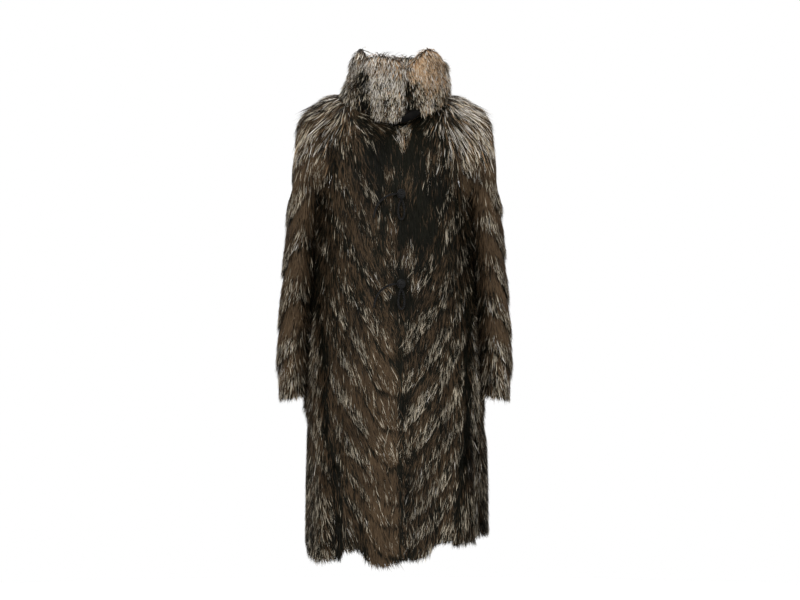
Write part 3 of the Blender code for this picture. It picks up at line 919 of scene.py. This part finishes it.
def lay_body(hairs, reach, side, shoulder, chest, yoke):
    """Lays the body's hair down and away from its middle, and outwards at the shoulders.
    Gives how near the arm each hair grows, and how far round its tip lies."""
    random, none = hairs.random, 0 * reach
    x, z = hairs.point[:, 0], hairs.point[:, 2]
    lean = 0.34 * smooth(np.abs(reach) / 0.03) * (1 - 0.75 * chest)
    sway = 0.34 * (waver(x / 0.05 + 11, z / 0.08 + 31, 8) - 0.5)
    down = np.stack((sway - side * lean, none, none - 1), axis=1)
    outward = np.stack((side * 0.9 + sway, none - 0.1, 0.4 * yoke - 0.9), axis=1)
    share = (shoulder * 0.9)[:, None]
    hairs.lay_along(down * (1 - share) + outward * share)
    length = random.uniform(0.038, 0.056, hairs.count) * (1 + 0.2 * shoulder)
    short = np.maximum(hairs.from_edge + random.normal(-0.001, 0.004, hairs.count), SHORTEST)
    length = np.minimum(length, short / np.maximum(-hairs.lay[:, 2], 0.6))
    by_arm = shoulder * rise(np.abs(x), 0.115, 0.03)
    length = length * (1 + by_arm * random.uniform(-0.35, 0.75, hairs.count))
    hairs.stretch(length)
    hairs.straighten(length, 0.8 * by_arm)
    sideways = unit(np.stack((-hairs.facing[:, 1], hairs.facing[:, 0], none), axis=1))
    hairs.gather(reach, z, sideways)
    return by_arm, reach + np.sum(hairs.lay * sideways, axis=1) * length


def dress_body(hairs, front):
    """Strips that meet in a V, a dark chest and pale shoulders."""
    random = hairs.random
    x, z = hairs.point[:, 0], hairs.point[:, 2]
    reach = round_body(hairs.turn, front) - (OPENING_X if front else 0.0)
    side = np.where(reach > 0, 1.0, -1.0) * (1 if front else -1)
    left = side > 0
    wide = 0.085 + 0.55 * np.maximum(-0.02 - z, 0)
    shoulder = rise(np.abs(x), wide, 0.05) * rise(z, np.where(left, -0.15, -0.07), 0.07)
    shoulder = np.maximum(shoulder, rise(z, 0.005, 0.03))
    yoke = rise(np.abs(x), 0.085, 0.05) * rise(z, -0.03, 0.03)
    chest = chest_shade(x, z) * (1 - shoulder) if front else 0 * x
    by_arm, reach = lay_body(hairs, reach, side, shoulder, chest, yoke)
    tip = hairs.over_tip

    # where each tip lies in its strip, with round lobes down the wearer's right edge
    edging = fall(np.abs(reach), 0.060, 0.010) * ~left * front * fall(z, -0.46, 0.06)
    bulge = 0.020 * np.clip(1 - ((np.abs(reach) - 0.028) / 0.030) ** 2, 0, 1) * (edging > 0)
    share = strip_share(tip[:, 2] + bulge, reach, STRIP_EDGES, STRIP_SLOPE)
    brown = rise(share, np.where(left, 0.36, 0.28), 0.14)
    # painted shadow along the top of each strip, under the strip above's overhanging edge
    edge_shadow = smooth((share - 0.84 + 0.08 * edging) / 0.06)

    # silver streaks above each edge and a brown strip over them, darker towards the chest
    patch = 0.35 + 1.3 * waver(reach / 0.06 + 3, tip[:, 2] / 0.07 + 51, 31)
    high = rise(z, -0.60, 0.24) * (1.0 if front else 0.4)
    skirt = fall(z, -0.66, 0.10) * front
    streaks = [
        np.where(left, 0.48, 0.44) + 0.36 * high + 0.10 * skirt, np.where(left, 0.25, 0.32),
        np.where(left, 0.30, 0.26) * patch * (1 - 0.50 * high - 0.18 * skirt), 0.0, 0.01,
    ]
    strip = [
        np.where(left, 0.42, 0.20) + 0.45 * high + 0.06 * skirt, np.where(left, 0.52, 0.78),
        0.025 * patch, 0.0, 0.0,
    ]
    valley, column, under_arm = skirt_marks(tip, z, left, front)
    # painted shade in the skirt's folds and down its valleys
    fold = np.clip(fold_depth(hairs.turn, z) / 0.012, 0, 1)
    edge = smooth(1.4 - np.abs(tip[:, 0] - OPENING_X - 0.003) / 0.0045) * (z < -0.16) * front
    weights = layered(
        streaks, (strip, brown), (STRIP_SHADOW, edge_shadow), (EDGE_LOBE, 0.88 * edging * (1 - edge_shadow)),
        (UNDER_ARM_SHADE, 0.85 * under_arm), (PALE_COLUMN, 0.75 * column),
        (SKIRT_VALLEY_SHADE, 0.92 * valley), (SKIRT_FOLD_SHADE, 0.85 * fold), (DARK_CHEST, chest),
        (FRONT_EDGE, 0.8 * edge),
    )
    for tuft_x, tuft_z, half_width, half_height, pale in CHEST_TUFTS:
        away = np.hypot((tip[:, 0] - tuft_x) / half_width, (tip[:, 2] - tuft_z) / half_height)
        mix = [0.34 - 0.14 * pale, 0.56 - 0.24 * pale, 0.08 + 0.16 * pale, 0.12 * pale, 0.12 * pale]
        weights = blend(weights, mix, smooth((1.9 - away) / (1.5 - 0.6 * pale)) * front)
    pale_shoulder = [
        np.where(left, 0.14, 0.26), np.where(left, 0.30, 0.42), 0.22, 0.04,
        np.where(left, 0.34, 0.10) + 0.10 * yoke,
    ]
    tufts = rise(waver(reach / 0.032 + 44, tip[:, 2] / 0.045 + 12, 34), 0.26, 0.26)
    pale_shoulder = blend(BROWN_SHOULDER, pale_shoulder, tufts)
    weights = blend(weights, pale_shoulder, shoulder * (1 - 0.6 * edge_shadow))
    kind = pick(weights, streaky(reach, z, random))
    shade = 0.24 + 0.42 * random.random(hairs.count) + 0.20 * shoulder
    shade += 0.46 * (waver(reach / 0.045 + 17, z / 0.06 + 23, 12) - 0.5)
    shade += 0.22 * edging - 0.05 * skirt

    # how far the tips stand out
    tip_height = read_off(BODY_LIFT, share) * (1 - chest) - 0.002 * chest
    tip_height += random.normal(0, 0.0014, hairs.count)
    for height, from_opening in KNOTS.values():
        past_loop = np.maximum(np.abs(tip[:, 2] - height + 0.016) - 0.016, 0)
        away = np.hypot(tip[:, 0] - OPENING_X - from_opening, past_loop)
        tip_height += (0.003 + 0.0018 * chest) * smooth(1.6 - away / 0.018) * front
    flank = rise(np.abs(hairs.facing[:, 0]), 0.8, 0.15)
    between_arm = fall(z, -0.20, 0.05) * rise(z, -0.70, 0.05)
    below_arm = fall(z, -0.14, 0.04) * rise(z, -0.36, 0.08)
    tip_height += flank * np.maximum(0.010 * between_arm, 0.017 * below_arm)
    tip_height += 0.012 * yoke * (1 - by_arm) - 0.004 * fold - 0.005 * valley
    tip_height += flank * fall(z, -0.66, 0.08) * np.where(x > 0, 0.009, -0.004)
    hairs.finish(tip_height, kind, shade)


def sleeve_share(points, turns, reach, side):
    """How far up its strip a place of the sleeve lies. Strips rise outwards and sink
    from the front to the back."""
    height = points[..., 2] + SLEEVE_EDGE_SLOPE * (points[..., 0] * side - SLEEVE_CENTRE)
    height += 0.035 * (1 - np.sin(np.radians(turns)))
    return strip_share(height, reach, SLEEVE_EDGES[side], 0.0)


def dress_sleeve(hairs, side):
    """Rounded lobes that hang outwards, silver along their lower edges."""
    random, z, turn = hairs.random, hairs.point[:, 2], hairs.turn
    cap = rise(z, -0.14, 0.10)
    sway = 0.26 * (waver(turn / 22, z / 0.07 + 31, 41) - 0.5)
    hairs.lay_along(np.stack((side * (0.20 + 0.55 * cap) + sway, 0 * z, 0 * z - 1), axis=1))
    length = random.uniform(0.032, 0.054, hairs.count) * (1 + 0.25 * cap)
    short = np.maximum(hairs.from_edge + random.normal(0.000, 0.004, hairs.count), SHORTEST)
    hairs.stretch(np.minimum(length, short))
    around = np.cross(hairs.facing, np.array((0, 0, 1.0)))
    hairs.gather(turn * SLEEVE_LOCK_ARC, z, -unit(around) * side)
    tip = hairs.over_tip

    # brown lobes with silver below them, a paler cuff and a pale cap
    share = sleeve_share(tip, turn, turn * SLEEVE_ARC, side)
    outward = rise(tip[:, 0] * side, SLEEVE_CENTRE, 0.07)
    low = smooth((0.24 + 0.26 * outward - share) / 0.15)
    # painted shadow along the top of each strip, under the strip above's overhanging edge
    edge_shadow = rise(share, 0.88, 0.06)
    patch = 0.4 + 1.2 * waver(turn / 25 + 3, z / 0.07 + 51, 43)
    lobe = [0.05, 0.93, 0.015 * patch, 0.0, 0.0]
    streaks = [0.26, 0.48, 0.25 * patch, 0.0, 0.02]
    pale_cap = [0.20, 0.40, 0.24, 0.04, 0.12 if side > 0 else 0.06]
    by_yoke = fall(hairs.level, 2.6, 1.6)
    tufts = waver(turn / 24 + 7, z / 0.05 + 12, 44)
    pale_cap = blend(BROWN_CAP, pale_cap, rise(tufts, 0.22 if side > 0 else 0.40, 0.24))
    # the side by the body lies in the dark, as does the right cap's outer rim
    from_outside = np.abs((turn + 180) % 360 - 180)
    inner = rise(from_outside, 115, 30)
    weights = layered(
        lobe, (streaks, low), (CUFF_MIX, fall(z, -0.50, 0.12) * (0.8 if side > 0 else 0.5)),
        (STRIP_SHADOW, edge_shadow), (pale_cap, np.maximum(cap * (1 - edge_shadow), by_yoke * cap)),
        (INNER_SLEEVE, inner * np.interp(z, (-0.60, -0.42), (0.35, 0.8))),
    )
    if side < 0:
        ragged = z + 0.05 * (waver(turn / 14, z * 0, 45) - 0.5)
        rim = smooth(1 - from_outside / 55) * fall(ragged, -0.05, 0.05)
        rim *= rise(ragged, -0.24, 0.08) * rise(np.sin(np.radians(turn)), -0.1, 0.4)
        weights = blend(weights, DARK_RIM, 0.8 * rim)
    kind = pick(weights, streaky(turn * SLEEVE_LOCK_ARC, z, random))
    shade = 0.30 + 0.42 * random.random(hairs.count) + 0.12 * cap
    shade += 0.40 * (waver(turn / 30 + 5, z / 0.06 + 23, 52) - 0.5)
    # painted light: each lobe lighter over its upper, rounded part, as if lit from above
    shade += 0.26 * rise(share, 0.40, 0.20) * fall(share, 0.84, 0.10)

    tip_height = read_off(SLEEVE_LIFT, share) + random.normal(0, 0.0016, hairs.count)
    outer, below_cap = smooth(1 - from_outside / 80), fall(z, -0.15, 0.05)
    tip_height += outer * (0.012 * below_cap - 0.009 * (1 - by_yoke * cap))
    tip_height += 0.002 * by_yoke * cap - 0.004 * cap
    tip_height += 0.014 * inner * below_cap
    hairs.finish(tip_height, kind, shade)


def dress_collar(hairs, piece):
    """Dense shorter hair that falls from the roll's top on both sides."""
    p, random = hairs.point, hairs.random
    x, z, round_roll, angle = p[:, 0], p[:, 2], hairs.level, hairs.turn
    outer = fall(round_roll, 0.56, 0.08)[:, None] * 2 - 1
    hairs.lay_along(unit(p * (1, 1, 0)) * outer * 0.7 + np.array((0, 0, -1.0)), wander=0.24)
    on_lobe = (round_roll < 0.5) & (piece != "collar_back")
    ends = np.where(on_lobe, read_off(COLLAR_ENDS, x), -1.0)
    ends += 0.012 * (waver(x / 0.008 + 50, z / 0.02 + 20, 73) - 0.5)
    hanging = rise(z, ends, 0.006)
    length = random.uniform(0.018, 0.032, hairs.count)
    length = np.minimum(length, np.maximum(np.maximum(z - ends, z + 0.030), 0.010))
    hairs.stretch(np.where(hanging > 0.5, length, SHORTEST))
    sideways = np.cross(unit(p * (1, 1, 0)), np.array((0, 0, 1.0)))
    hairs.gather(angle * COLLAR_ARC, z, -sideways, size=0.006)

    plain, crown = COLLAR_MIX[piece]
    if piece == "collar_front_right":
        low_end, top = (RIGHT_LOBE_END, fall(z, 0.066, 0.03)), (crown, rise(z, 0.084, 0.02))
        weights = layered(plain, low_end, top)
    elif piece == "collar_front_left":
        top = (crown, smooth((z - 0.050 - 0.02 * fall(x, 0.08, 0.03)) / 0.03))
        tail = (LEFT_LOBE_TAIL, rise(x, 0.062, 0.02) * fall(z, 0.034, 0.02))
        weights = layered(plain, top, tail)
    else:
        weights = layered(
            plain, (crown, rise(z, 0.085, 0.03)), (COLLAR_SIDE_RIM, fall(angle, 112, 25)),
            (COLLAR_INSIDE, 0.7 * rise(round_roll, 0.60, 0.1)),
        )
    outside = (round_roll < 0.6) * smooth((-p[:, 1] - 0.01) / 0.02)
    # painted shadow in the fold's groove and in the gap between the front lobes
    groove = smooth(1.5 - np.abs(x + 0.072) / 0.013) * fall(z, 0.126, 0.02)
    lobe_gap = smooth(1.5 - np.abs(x - 0.034 + 0.10 * (z - 0.05)) / 0.006) * fall(z, 0.10, 0.04)
    gap_shadows = (COLLAR_GROOVE_SHADOW, groove * outside), (LOBE_GAP_SHADOW, 0.8 * lobe_gap * outside)
    weights = blend(UNDER_COLLAR, layered(weights, *gap_shadows), hanging)
    kind = pick(weights, streaky(angle * COLLAR_ARC, z, random, width=0.003, length=0.022))
    shade = 0.28 + 0.54 * random.random(hairs.count)
    shade += 0.36 * (waver(angle / 9 + 40, z / 0.03 + 23, 72) - 0.5)

    tip_height = random.normal(0.000, 0.0024, hairs.count) - 0.004 * (1 - hanging)
    crest = rise(z, 0.10, 0.03) * rise(round_roll, 0.30, 0.15)
    tip_height += (0.007 if piece == "collar_back" else 0.002) * crest
    if piece == "collar_front_right":
        tip_height += 0.007 * crest * fall(x, 0.012, 0.04)
    hairs.finish(tip_height, kind, shade, root_depth=COLLAR_HIDE_DEPTH)


# ---------------------------------------------------------------- body and sleeves
def right_edges(level):
    return -90 + armhole_spread(level), opening_angle(level)


def left_edges(level):
    return opening_angle(level), 90 - armhole_spread(level)


def back_edges(level):
    return 90 + armhole_spread(level), 270 - armhole_spread(level)


# width and length of the cut, its flat area, and how many hairs it has
CUTS = {
    "front_right": (0.34, 1.12, 0.29, 60000), "front_left": (0.30, 1.12, 0.26, 54000),
    "back": (0.62, 1.14, 0.56, 62000),
    "sleeve_right": (0.42, 0.66, 0.205, 32000), "sleeve_left": (0.42, 0.66, 0.205, 32000),
    "collar_front_right": (0.12, 0.32, 0.029, 17000),
    "collar_front_left": (0.12, 0.34, 0.029, 17000), "collar_back": (0.36, 0.31, 0.080, 26000),
}


def fit_out(node, hide, hairs):
    """Puts a hide and its fur in a node's place."""
    fur = fur_piece(node + "_fur", hairs, hair_kinds)
    for piece in (hide, fur):
        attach(piece, "root")
    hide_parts(node)


body = whole_body()
for number, (node, edges, columns) in enumerate(
    (("front_right", right_edges, 40), ("front_left", left_edges, 40), ("back", back_edges, 70))
):
    points, facing, angles = panel_rows(edges, columns)
    reach = round_body(angles, node != "back")
    share = strip_share(points[:, :, 2], reach, STRIP_EDGES, STRIP_SLOPE)
    depth = (HIDE_DEPTH + STRIP_BULGE * (share - 0.5))[:, :, None]
    outer, inner = points - facing * depth, points - facing * BODY_WALL
    hide = closed_wall(node + "_hide", outer, inner, (underfur, lining))

    levels = np.linspace(HEM_INSET, NECK_LEVEL, 300)
    sides = np.array([edges(level) for level in levels])

    def on_panel(turn, level, levels=levels, sides=sides):
        turn = np.where(turn > 180 + 91 * (sides[0, 1] > 180), turn - 360, turn)
        first = np.interp(level, levels, sides[:, 0])
        last = np.interp(level, levels, sides[:, 1])
        return (turn > first) & (turn < last) & (level > HEM_INSET)

    hairs = Hairs(body, CUTS[node][3], 100 + number, on_panel)
    dress_body(hairs, node != "back")
    fit_out(node, hide, hairs)

CUFF_ROW = len(SLEEVE_SECTIONS) - 0.30
for side, node in ((-1, "sleeve_right"), (1, "sleeve_left")):
    sleeve = whole_sleeve(side)
    rows = sleeve.levels[:, 0] <= CUFF_ROW
    points, facing = sleeve.points[rows], sleeve.facing[rows]
    share = sleeve_share(points, sleeve.turns[rows], 0 * points[:, :, 0], side)
    depth = (HIDE_DEPTH - 0.001 + STRIP_BULGE * (share - 0.5))[:, :, None]
    outer, inner = points - facing * depth, points - facing * SLEEVE_WALL
    hide = closed_wall(node + "_hide", outer, inner, (underfur, lining), tube=True)
    hairs = Hairs(sleeve, CUTS[node][3], 200 + side, lambda turn, level: level < CUFF_ROW)
    dress_sleeve(hairs, side)
    fit_out(node, hide, hairs)

# ---------------------------------------------------------------- collar
for number, (node, table) in enumerate(
    (
        ("collar_front_right", COLLAR_FRONT_RIGHT), ("collar_front_left", COLLAR_FRONT_LEFT),
        ("collar_back", COLLAR_BACK),
    )
):
    roll = whole_roll(table)
    outer = roll.points - roll.facing * COLLAR_HIDE_DEPTH
    inner = roll.points - roll.facing * COLLAR_WALL
    hide = closed_wall(node + "_hide", outer, inner, (collar_underfur, lining))
    hairs = Hairs(roll, CUTS[node][3], 300 + number, lambda turn, level: level < 2)
    dress_collar(hairs, node)
    fit_out(node, hide, hairs)

# ---------------------------------------------------------------- closures
REST_GAP = 0.0007
KNOT_RADIUS = 0.0105
KNOT_FLATNESS = 0.8
KNOT_LENGTH = 1.15
CORD_RADIUS = 0.0024
LOOP_DROP = 0.046
LOOP_TUCK = 0.0015
LOOP_HALF_WIDTH = 0.009
TIE_REACH = 0.052
TIE_DROP = 0.055
STRAP_HALF_LENGTH = 0.028
STRAP_HALF_WIDTH = 0.010
STRAP_HALF_THICKNESS = 0.004
STRAP_PLACE = (0.035, -0.1274, -0.0145)
STRAP_SLOPE = 26.0


def silk_cord():
    """Black twisted silk: fine threads that catch the light."""
    made, nodes, links, shader = fresh("black_silk_cord")
    place = nodes.new("ShaderNodeTexCoord").outputs["Object"]
    threads = pattern(nodes, links, "ShaderNodeTexNoise", place, 900, Detail=3)
    stops = ((0.35, (0.001, 0.001, 0.001)), (0.7, (0.005, 0.0045, 0.004)))
    tint(nodes, links, shader, threads.outputs["Fac"], stops)
    emboss(nodes, links, shader, threads.outputs["Fac"], 0.35, 0.0003)
    shader.inputs["Roughness"].default_value = 0.36
    shader.inputs["Specular IOR Level"].default_value = 0.22
    return made


def soft_leather():
    """Black leather with a fine pebbled grain, duller in its creases."""
    made, nodes, links, shader = fresh("black_strap_leather")
    place = nodes.new("ShaderNodeTexCoord").outputs["Object"]
    grain = pattern(nodes, links, "ShaderNodeTexVoronoi", place, 700)
    wear = pattern(nodes, links, "ShaderNodeTexNoise", place, 60)
    stops = ((0.35, (0.001, 0.001, 0.001)), (0.7, (0.006, 0.005, 0.0045)))
    tint(nodes, links, shader, wear.outputs["Fac"], stops)
    dull = nodes.new("ShaderNodeMapRange")
    dull.inputs["To Min"].default_value = 0.5
    dull.inputs["To Max"].default_value = 0.7
    links.new(wear.outputs["Fac"], dull.inputs["Value"])
    links.new(dull.outputs["Result"], shader.inputs["Roughness"])
    emboss(nodes, links, shader, grain.outputs["Distance"], 0.3, 0.0004)
    shader.inputs["Specular IOR Level"].default_value = 0.05
    return made


black_silk, black_leather = silk_cord(), soft_leather()


def front_surface(x, height):
    """The depth, in y, of the front's fur at this place."""
    rows = np.array(BODY_SECTIONS)
    level = np.interp(height, rows[:, 2], rows[:, 0])
    half_width, depth, square = between(BODY_SECTIONS, level)[[4, 5, 7]]
    return -depth * (1 - abs(x / half_width) ** square) ** (1 / square)


def on_front(x, height, out=0.0):
    return (x, front_surface(x, height) - REST_GAP - CORD_RADIUS - out, height)


def evenly(points, count, closed):
    """Puts points at even distances along a path."""
    points = np.array(points, float)
    if closed:
        points = np.vstack((points, points[:1]))
    run = np.linalg.norm(np.diff(points, axis=0), axis=1)
    run = np.concatenate(((0,), np.cumsum(run)))
    places = np.linspace(0, run[-1], count + 1 if closed else count)
    even = np.stack([np.interp(places, run, points[:, k]) for k in range(3)], axis=1)
    return even[:-1] if closed else even


def frames_along(path, closed):
    """Two directions across a path that turn as little as they can along it."""
    if closed:
        ahead = unit(np.roll(path, -1, axis=0) - np.roll(path, 1, axis=0))
    else:
        ahead = unit(np.gradient(path, axis=0))
    across = unit(np.cross(ahead[0], (0.31, 0.87, 0.39)))
    firsts = []
    for direction in ahead:
        across = unit(across - direction * np.dot(across, direction))
        firsts.append(across)
    firsts = np.array(firsts)
    return firsts, np.cross(ahead, firsts)


def strand(path, radius, closed, sides=6):
    """Points and faces of a round strand along a path, closed at its ends."""
    first, second = frames_along(path, closed)
    turn = 2 * math.pi * np.arange(sides) / sides
    ring = first[:, None] * np.cos(turn)[:, None] + second[:, None] * np.sin(turn)[:, None]
    points = (path[:, None] + ring * radius).reshape(-1, 3)
    count, faces = len(path), []
    for row in range(count if closed else count - 1):
        for k in range(sides):
            a, b = row * sides + k, row * sides + (k + 1) % sides
            c, d = ((p + sides) % (count * sides) for p in (b, a))
            faces.append((a, b, c, d))
    if not closed:
        faces.append(tuple(reversed(range(sides))))
        faces.append(tuple(range((count - 1) * sides, count * sides)))
    return points, faces


def plied(path, radius, closed, plies=3):
    """The strands of a twisted cord."""
    first, second = frames_along(path, closed)
    run = np.linalg.norm(np.diff(path, axis=0), axis=1).sum()
    twists = max(round(run / (radius * 7)), 1)
    share = np.arange(len(path)) / (len(path) if closed else len(path) - 1)
    strands = []
    for ply in range(plies):
        turn = 2 * math.pi * (share * twists + ply / plies)
        offset = first * np.cos(turn)[:, None] + second * np.sin(turn)[:, None]
        strands.append(strand(path + offset * radius * 0.5, radius * 0.54, closed))
    return strands


def corded_piece(name, strands, finish, node):
    """Joins strands into one piece in a node's place."""
    points, faces, start = [], [], 0
    for some, ring in strands:
        points += some.tolist()
        faces += [tuple(k + start for k in face) for face in ring]
        start = len(points)
    mesh = bpy.data.meshes.new(name)
    mesh.from_pydata(points, [], faces)
    mesh.materials.append(finish)
    mesh.shade_smooth()
    made = placed(name, mesh)
    settle_faces(made)
    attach(made, "root")
    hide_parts(node)


def hanging_loop(place):
    """A closed loop under the knot."""
    x = OPENING_X + place[1]
    top = place[0] - KNOT_RADIUS * KNOT_LENGTH - CORD_RADIUS + LOOP_TUCK
    turn = 2 * math.pi * np.arange(48) / 48
    swell = 0.55 + 0.45 * np.sin(turn / 2) ** 2
    heights = top - LOOP_DROP / 2 * (1 - np.cos(turn))
    places = zip(x + LOOP_HALF_WIDTH * swell * np.sin(turn), heights, strict=True)
    return [on_front(across, height) for across, height in places]


def side_tie(place):
    """The cord that runs from the knot to where it is sewn on the right front."""
    x, height = OPENING_X + place[1] - KNOT_RADIUS - REST_GAP, place[0]
    lift = KNOT_RADIUS * KNOT_FLATNESS - CORD_RADIUS
    points = []
    for share in np.linspace(0, 1, 33):
        turn = share * math.pi / 2
        across, down = TIE_REACH * math.sin(turn), TIE_DROP * (1 - math.cos(turn))
        points.append(on_front(x - across, height - down, lift * (1 - share) ** 3))
    return points


def wound_knot(place):
    """A ball of cord wound three ways over its own turns, like a monkey's fist."""
    x, height = OPENING_X + place[1], place[0]
    depth = front_surface(x, height) - REST_GAP - KNOT_RADIUS * KNOT_FLATNESS
    middle = np.array((x, depth, height))
    shape = np.array((1.0, KNOT_FLATNESS, KNOT_LENGTH))
    ply = KNOT_RADIUS * 0.17
    turn = 2 * math.pi * np.arange(40) / 40
    strands = []
    for axis, size in ((2, 0.72), (0, 0.78), (1, 0.84)):
        for shift in (-0.52, -0.18, 0.18, 0.52):
            ring = np.zeros((40, 3))
            wide = math.sqrt(size**2 - shift**2)
            ring[:, (axis + 1) % 3] = wide * np.cos(turn)
            ring[:, (axis + 2) % 3] = wide * np.sin(turn)
            ring[:, axis] = shift
            strands.append(strand(middle + ring * KNOT_RADIUS * shape, ply, True))
    return strands


for where, place in KNOTS.items():
    corded_piece("wound_knot_" + where, wound_knot(place), black_silk, "knot_" + where)
    loop = evenly(hanging_loop(place), 96, True)
    cord = plied(loop, CORD_RADIUS, True)
    corded_piece("corded_loop_" + where, cord, black_silk, "loop_" + where)
    tie = evenly(side_tie(place), 96, False)
    cord = plied(tie, CORD_RADIUS, False)
    corded_piece("corded_tie_" + where, cord, black_silk, "tie_" + where)

bpy.ops.mesh.primitive_uv_sphere_add(
    segments=40, ring_count=20, radius=1.0, location=STRAP_PLACE,
    rotation=(0.0, -math.radians(STRAP_SLOPE), 0.0),
)
strap = bpy.context.active_object
strap.name = "leather_neck_strap"
strap.scale = (STRAP_HALF_LENGTH, STRAP_HALF_THICKNESS, STRAP_HALF_WIDTH)
bpy.ops.object.transform_apply(location=True, rotation=True, scale=True)
bpy.ops.object.shade_smooth()
strap.data.materials.append(black_leather)
strap.select_set(False)
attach(strap, "root")
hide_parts("neck_strap")

# ---------------------------------------------------------------- camera, light, floor
view = bpy.data.cameras.new("front_view")
camera = placed("front_view", view)
DISTANCE = 14.0
VIEW_WIDTH = 1.888  # how wide the view is where the coat stands
camera.location = (0.013, -DISTANCE, -0.4437)
camera.rotation_euler = (math.pi / 2, 0, 0)
view.sensor_width = 36
view.lens = view.sensor_width * DISTANCE / VIEW_WIDTH
bpy.context.scene.camera = camera


def soft_light(name, place, size, power):
    """A round lamp turned to the coat's middle."""
    lamp = bpy.data.lights.new(name, "AREA")
    lamp.shape = "DISK"
    lamp.size = size
    lamp.energy = power
    made = placed(name, lamp)
    made.location = place
    direction = np.array((0, 0, -0.5)) - np.array(place, float)
    tilt = math.atan2(math.hypot(direction[0], direction[1]), -direction[2])
    made.rotation_euler = (tilt, 0, math.atan2(-direction[0], direction[1]))


soft_light("key_light", (-1.6, -2.6, 1.6), 1.6, 70)
soft_light("fill_light", (2.2, -2.4, 0.6), 1.8, 42)
soft_light("top_light", (0.0, 0.6, 2.4), 1.6, 50)
soft_light("back_light", (-0.6, 2.8, 0.8), 1.8, 50)

world = bpy.data.worlds.new("studio")
world.use_nodes = True
bpy.context.scene.world = world
world_nodes, world_links = world.node_tree.nodes, world.node_tree.links
backdrop = world_nodes["Background"]
backdrop.inputs["Color"].default_value = (1, 1, 1, 1)
backdrop.inputs["Strength"].default_value = 0.47
seen = world_nodes.new("ShaderNodeBackground")
seen.inputs["Color"].default_value = (1, 1, 1, 1)
path = world_nodes.new("ShaderNodeLightPath")
choose = world_nodes.new("ShaderNodeMixShader")
world_links.new(path.outputs["Is Camera Ray"], choose.inputs["Fac"])
world_links.new(backdrop.outputs["Background"], choose.inputs[1])
world_links.new(seen.outputs["Background"], choose.inputs[2])
world_links.new(choose.outputs["Shader"], world_nodes["World Output"].inputs["Surface"])
bpy.context.scene.view_settings.view_transform = "Standard"

FLOOR_DROP = 0.10
bpy.ops.mesh.primitive_circle_add(
    vertices=64, radius=1.6, fill_type="NGON", location=(0, 0, cad_box[0][2] - FLOOR_DROP)
)
floor = bpy.context.active_object
floor.name = "floor"
bpy.ops.object.transform_apply(location=True, rotation=False, scale=False)
floor_finish, nodes, links, shader = fresh("pale_floor")
shader.inputs["Base Color"].default_value = (0.9, 0.9, 0.9, 1)
shader.inputs["Roughness"].default_value = 0.8
floor.data.materials.append(floor_finish)
floor.select_set(False)
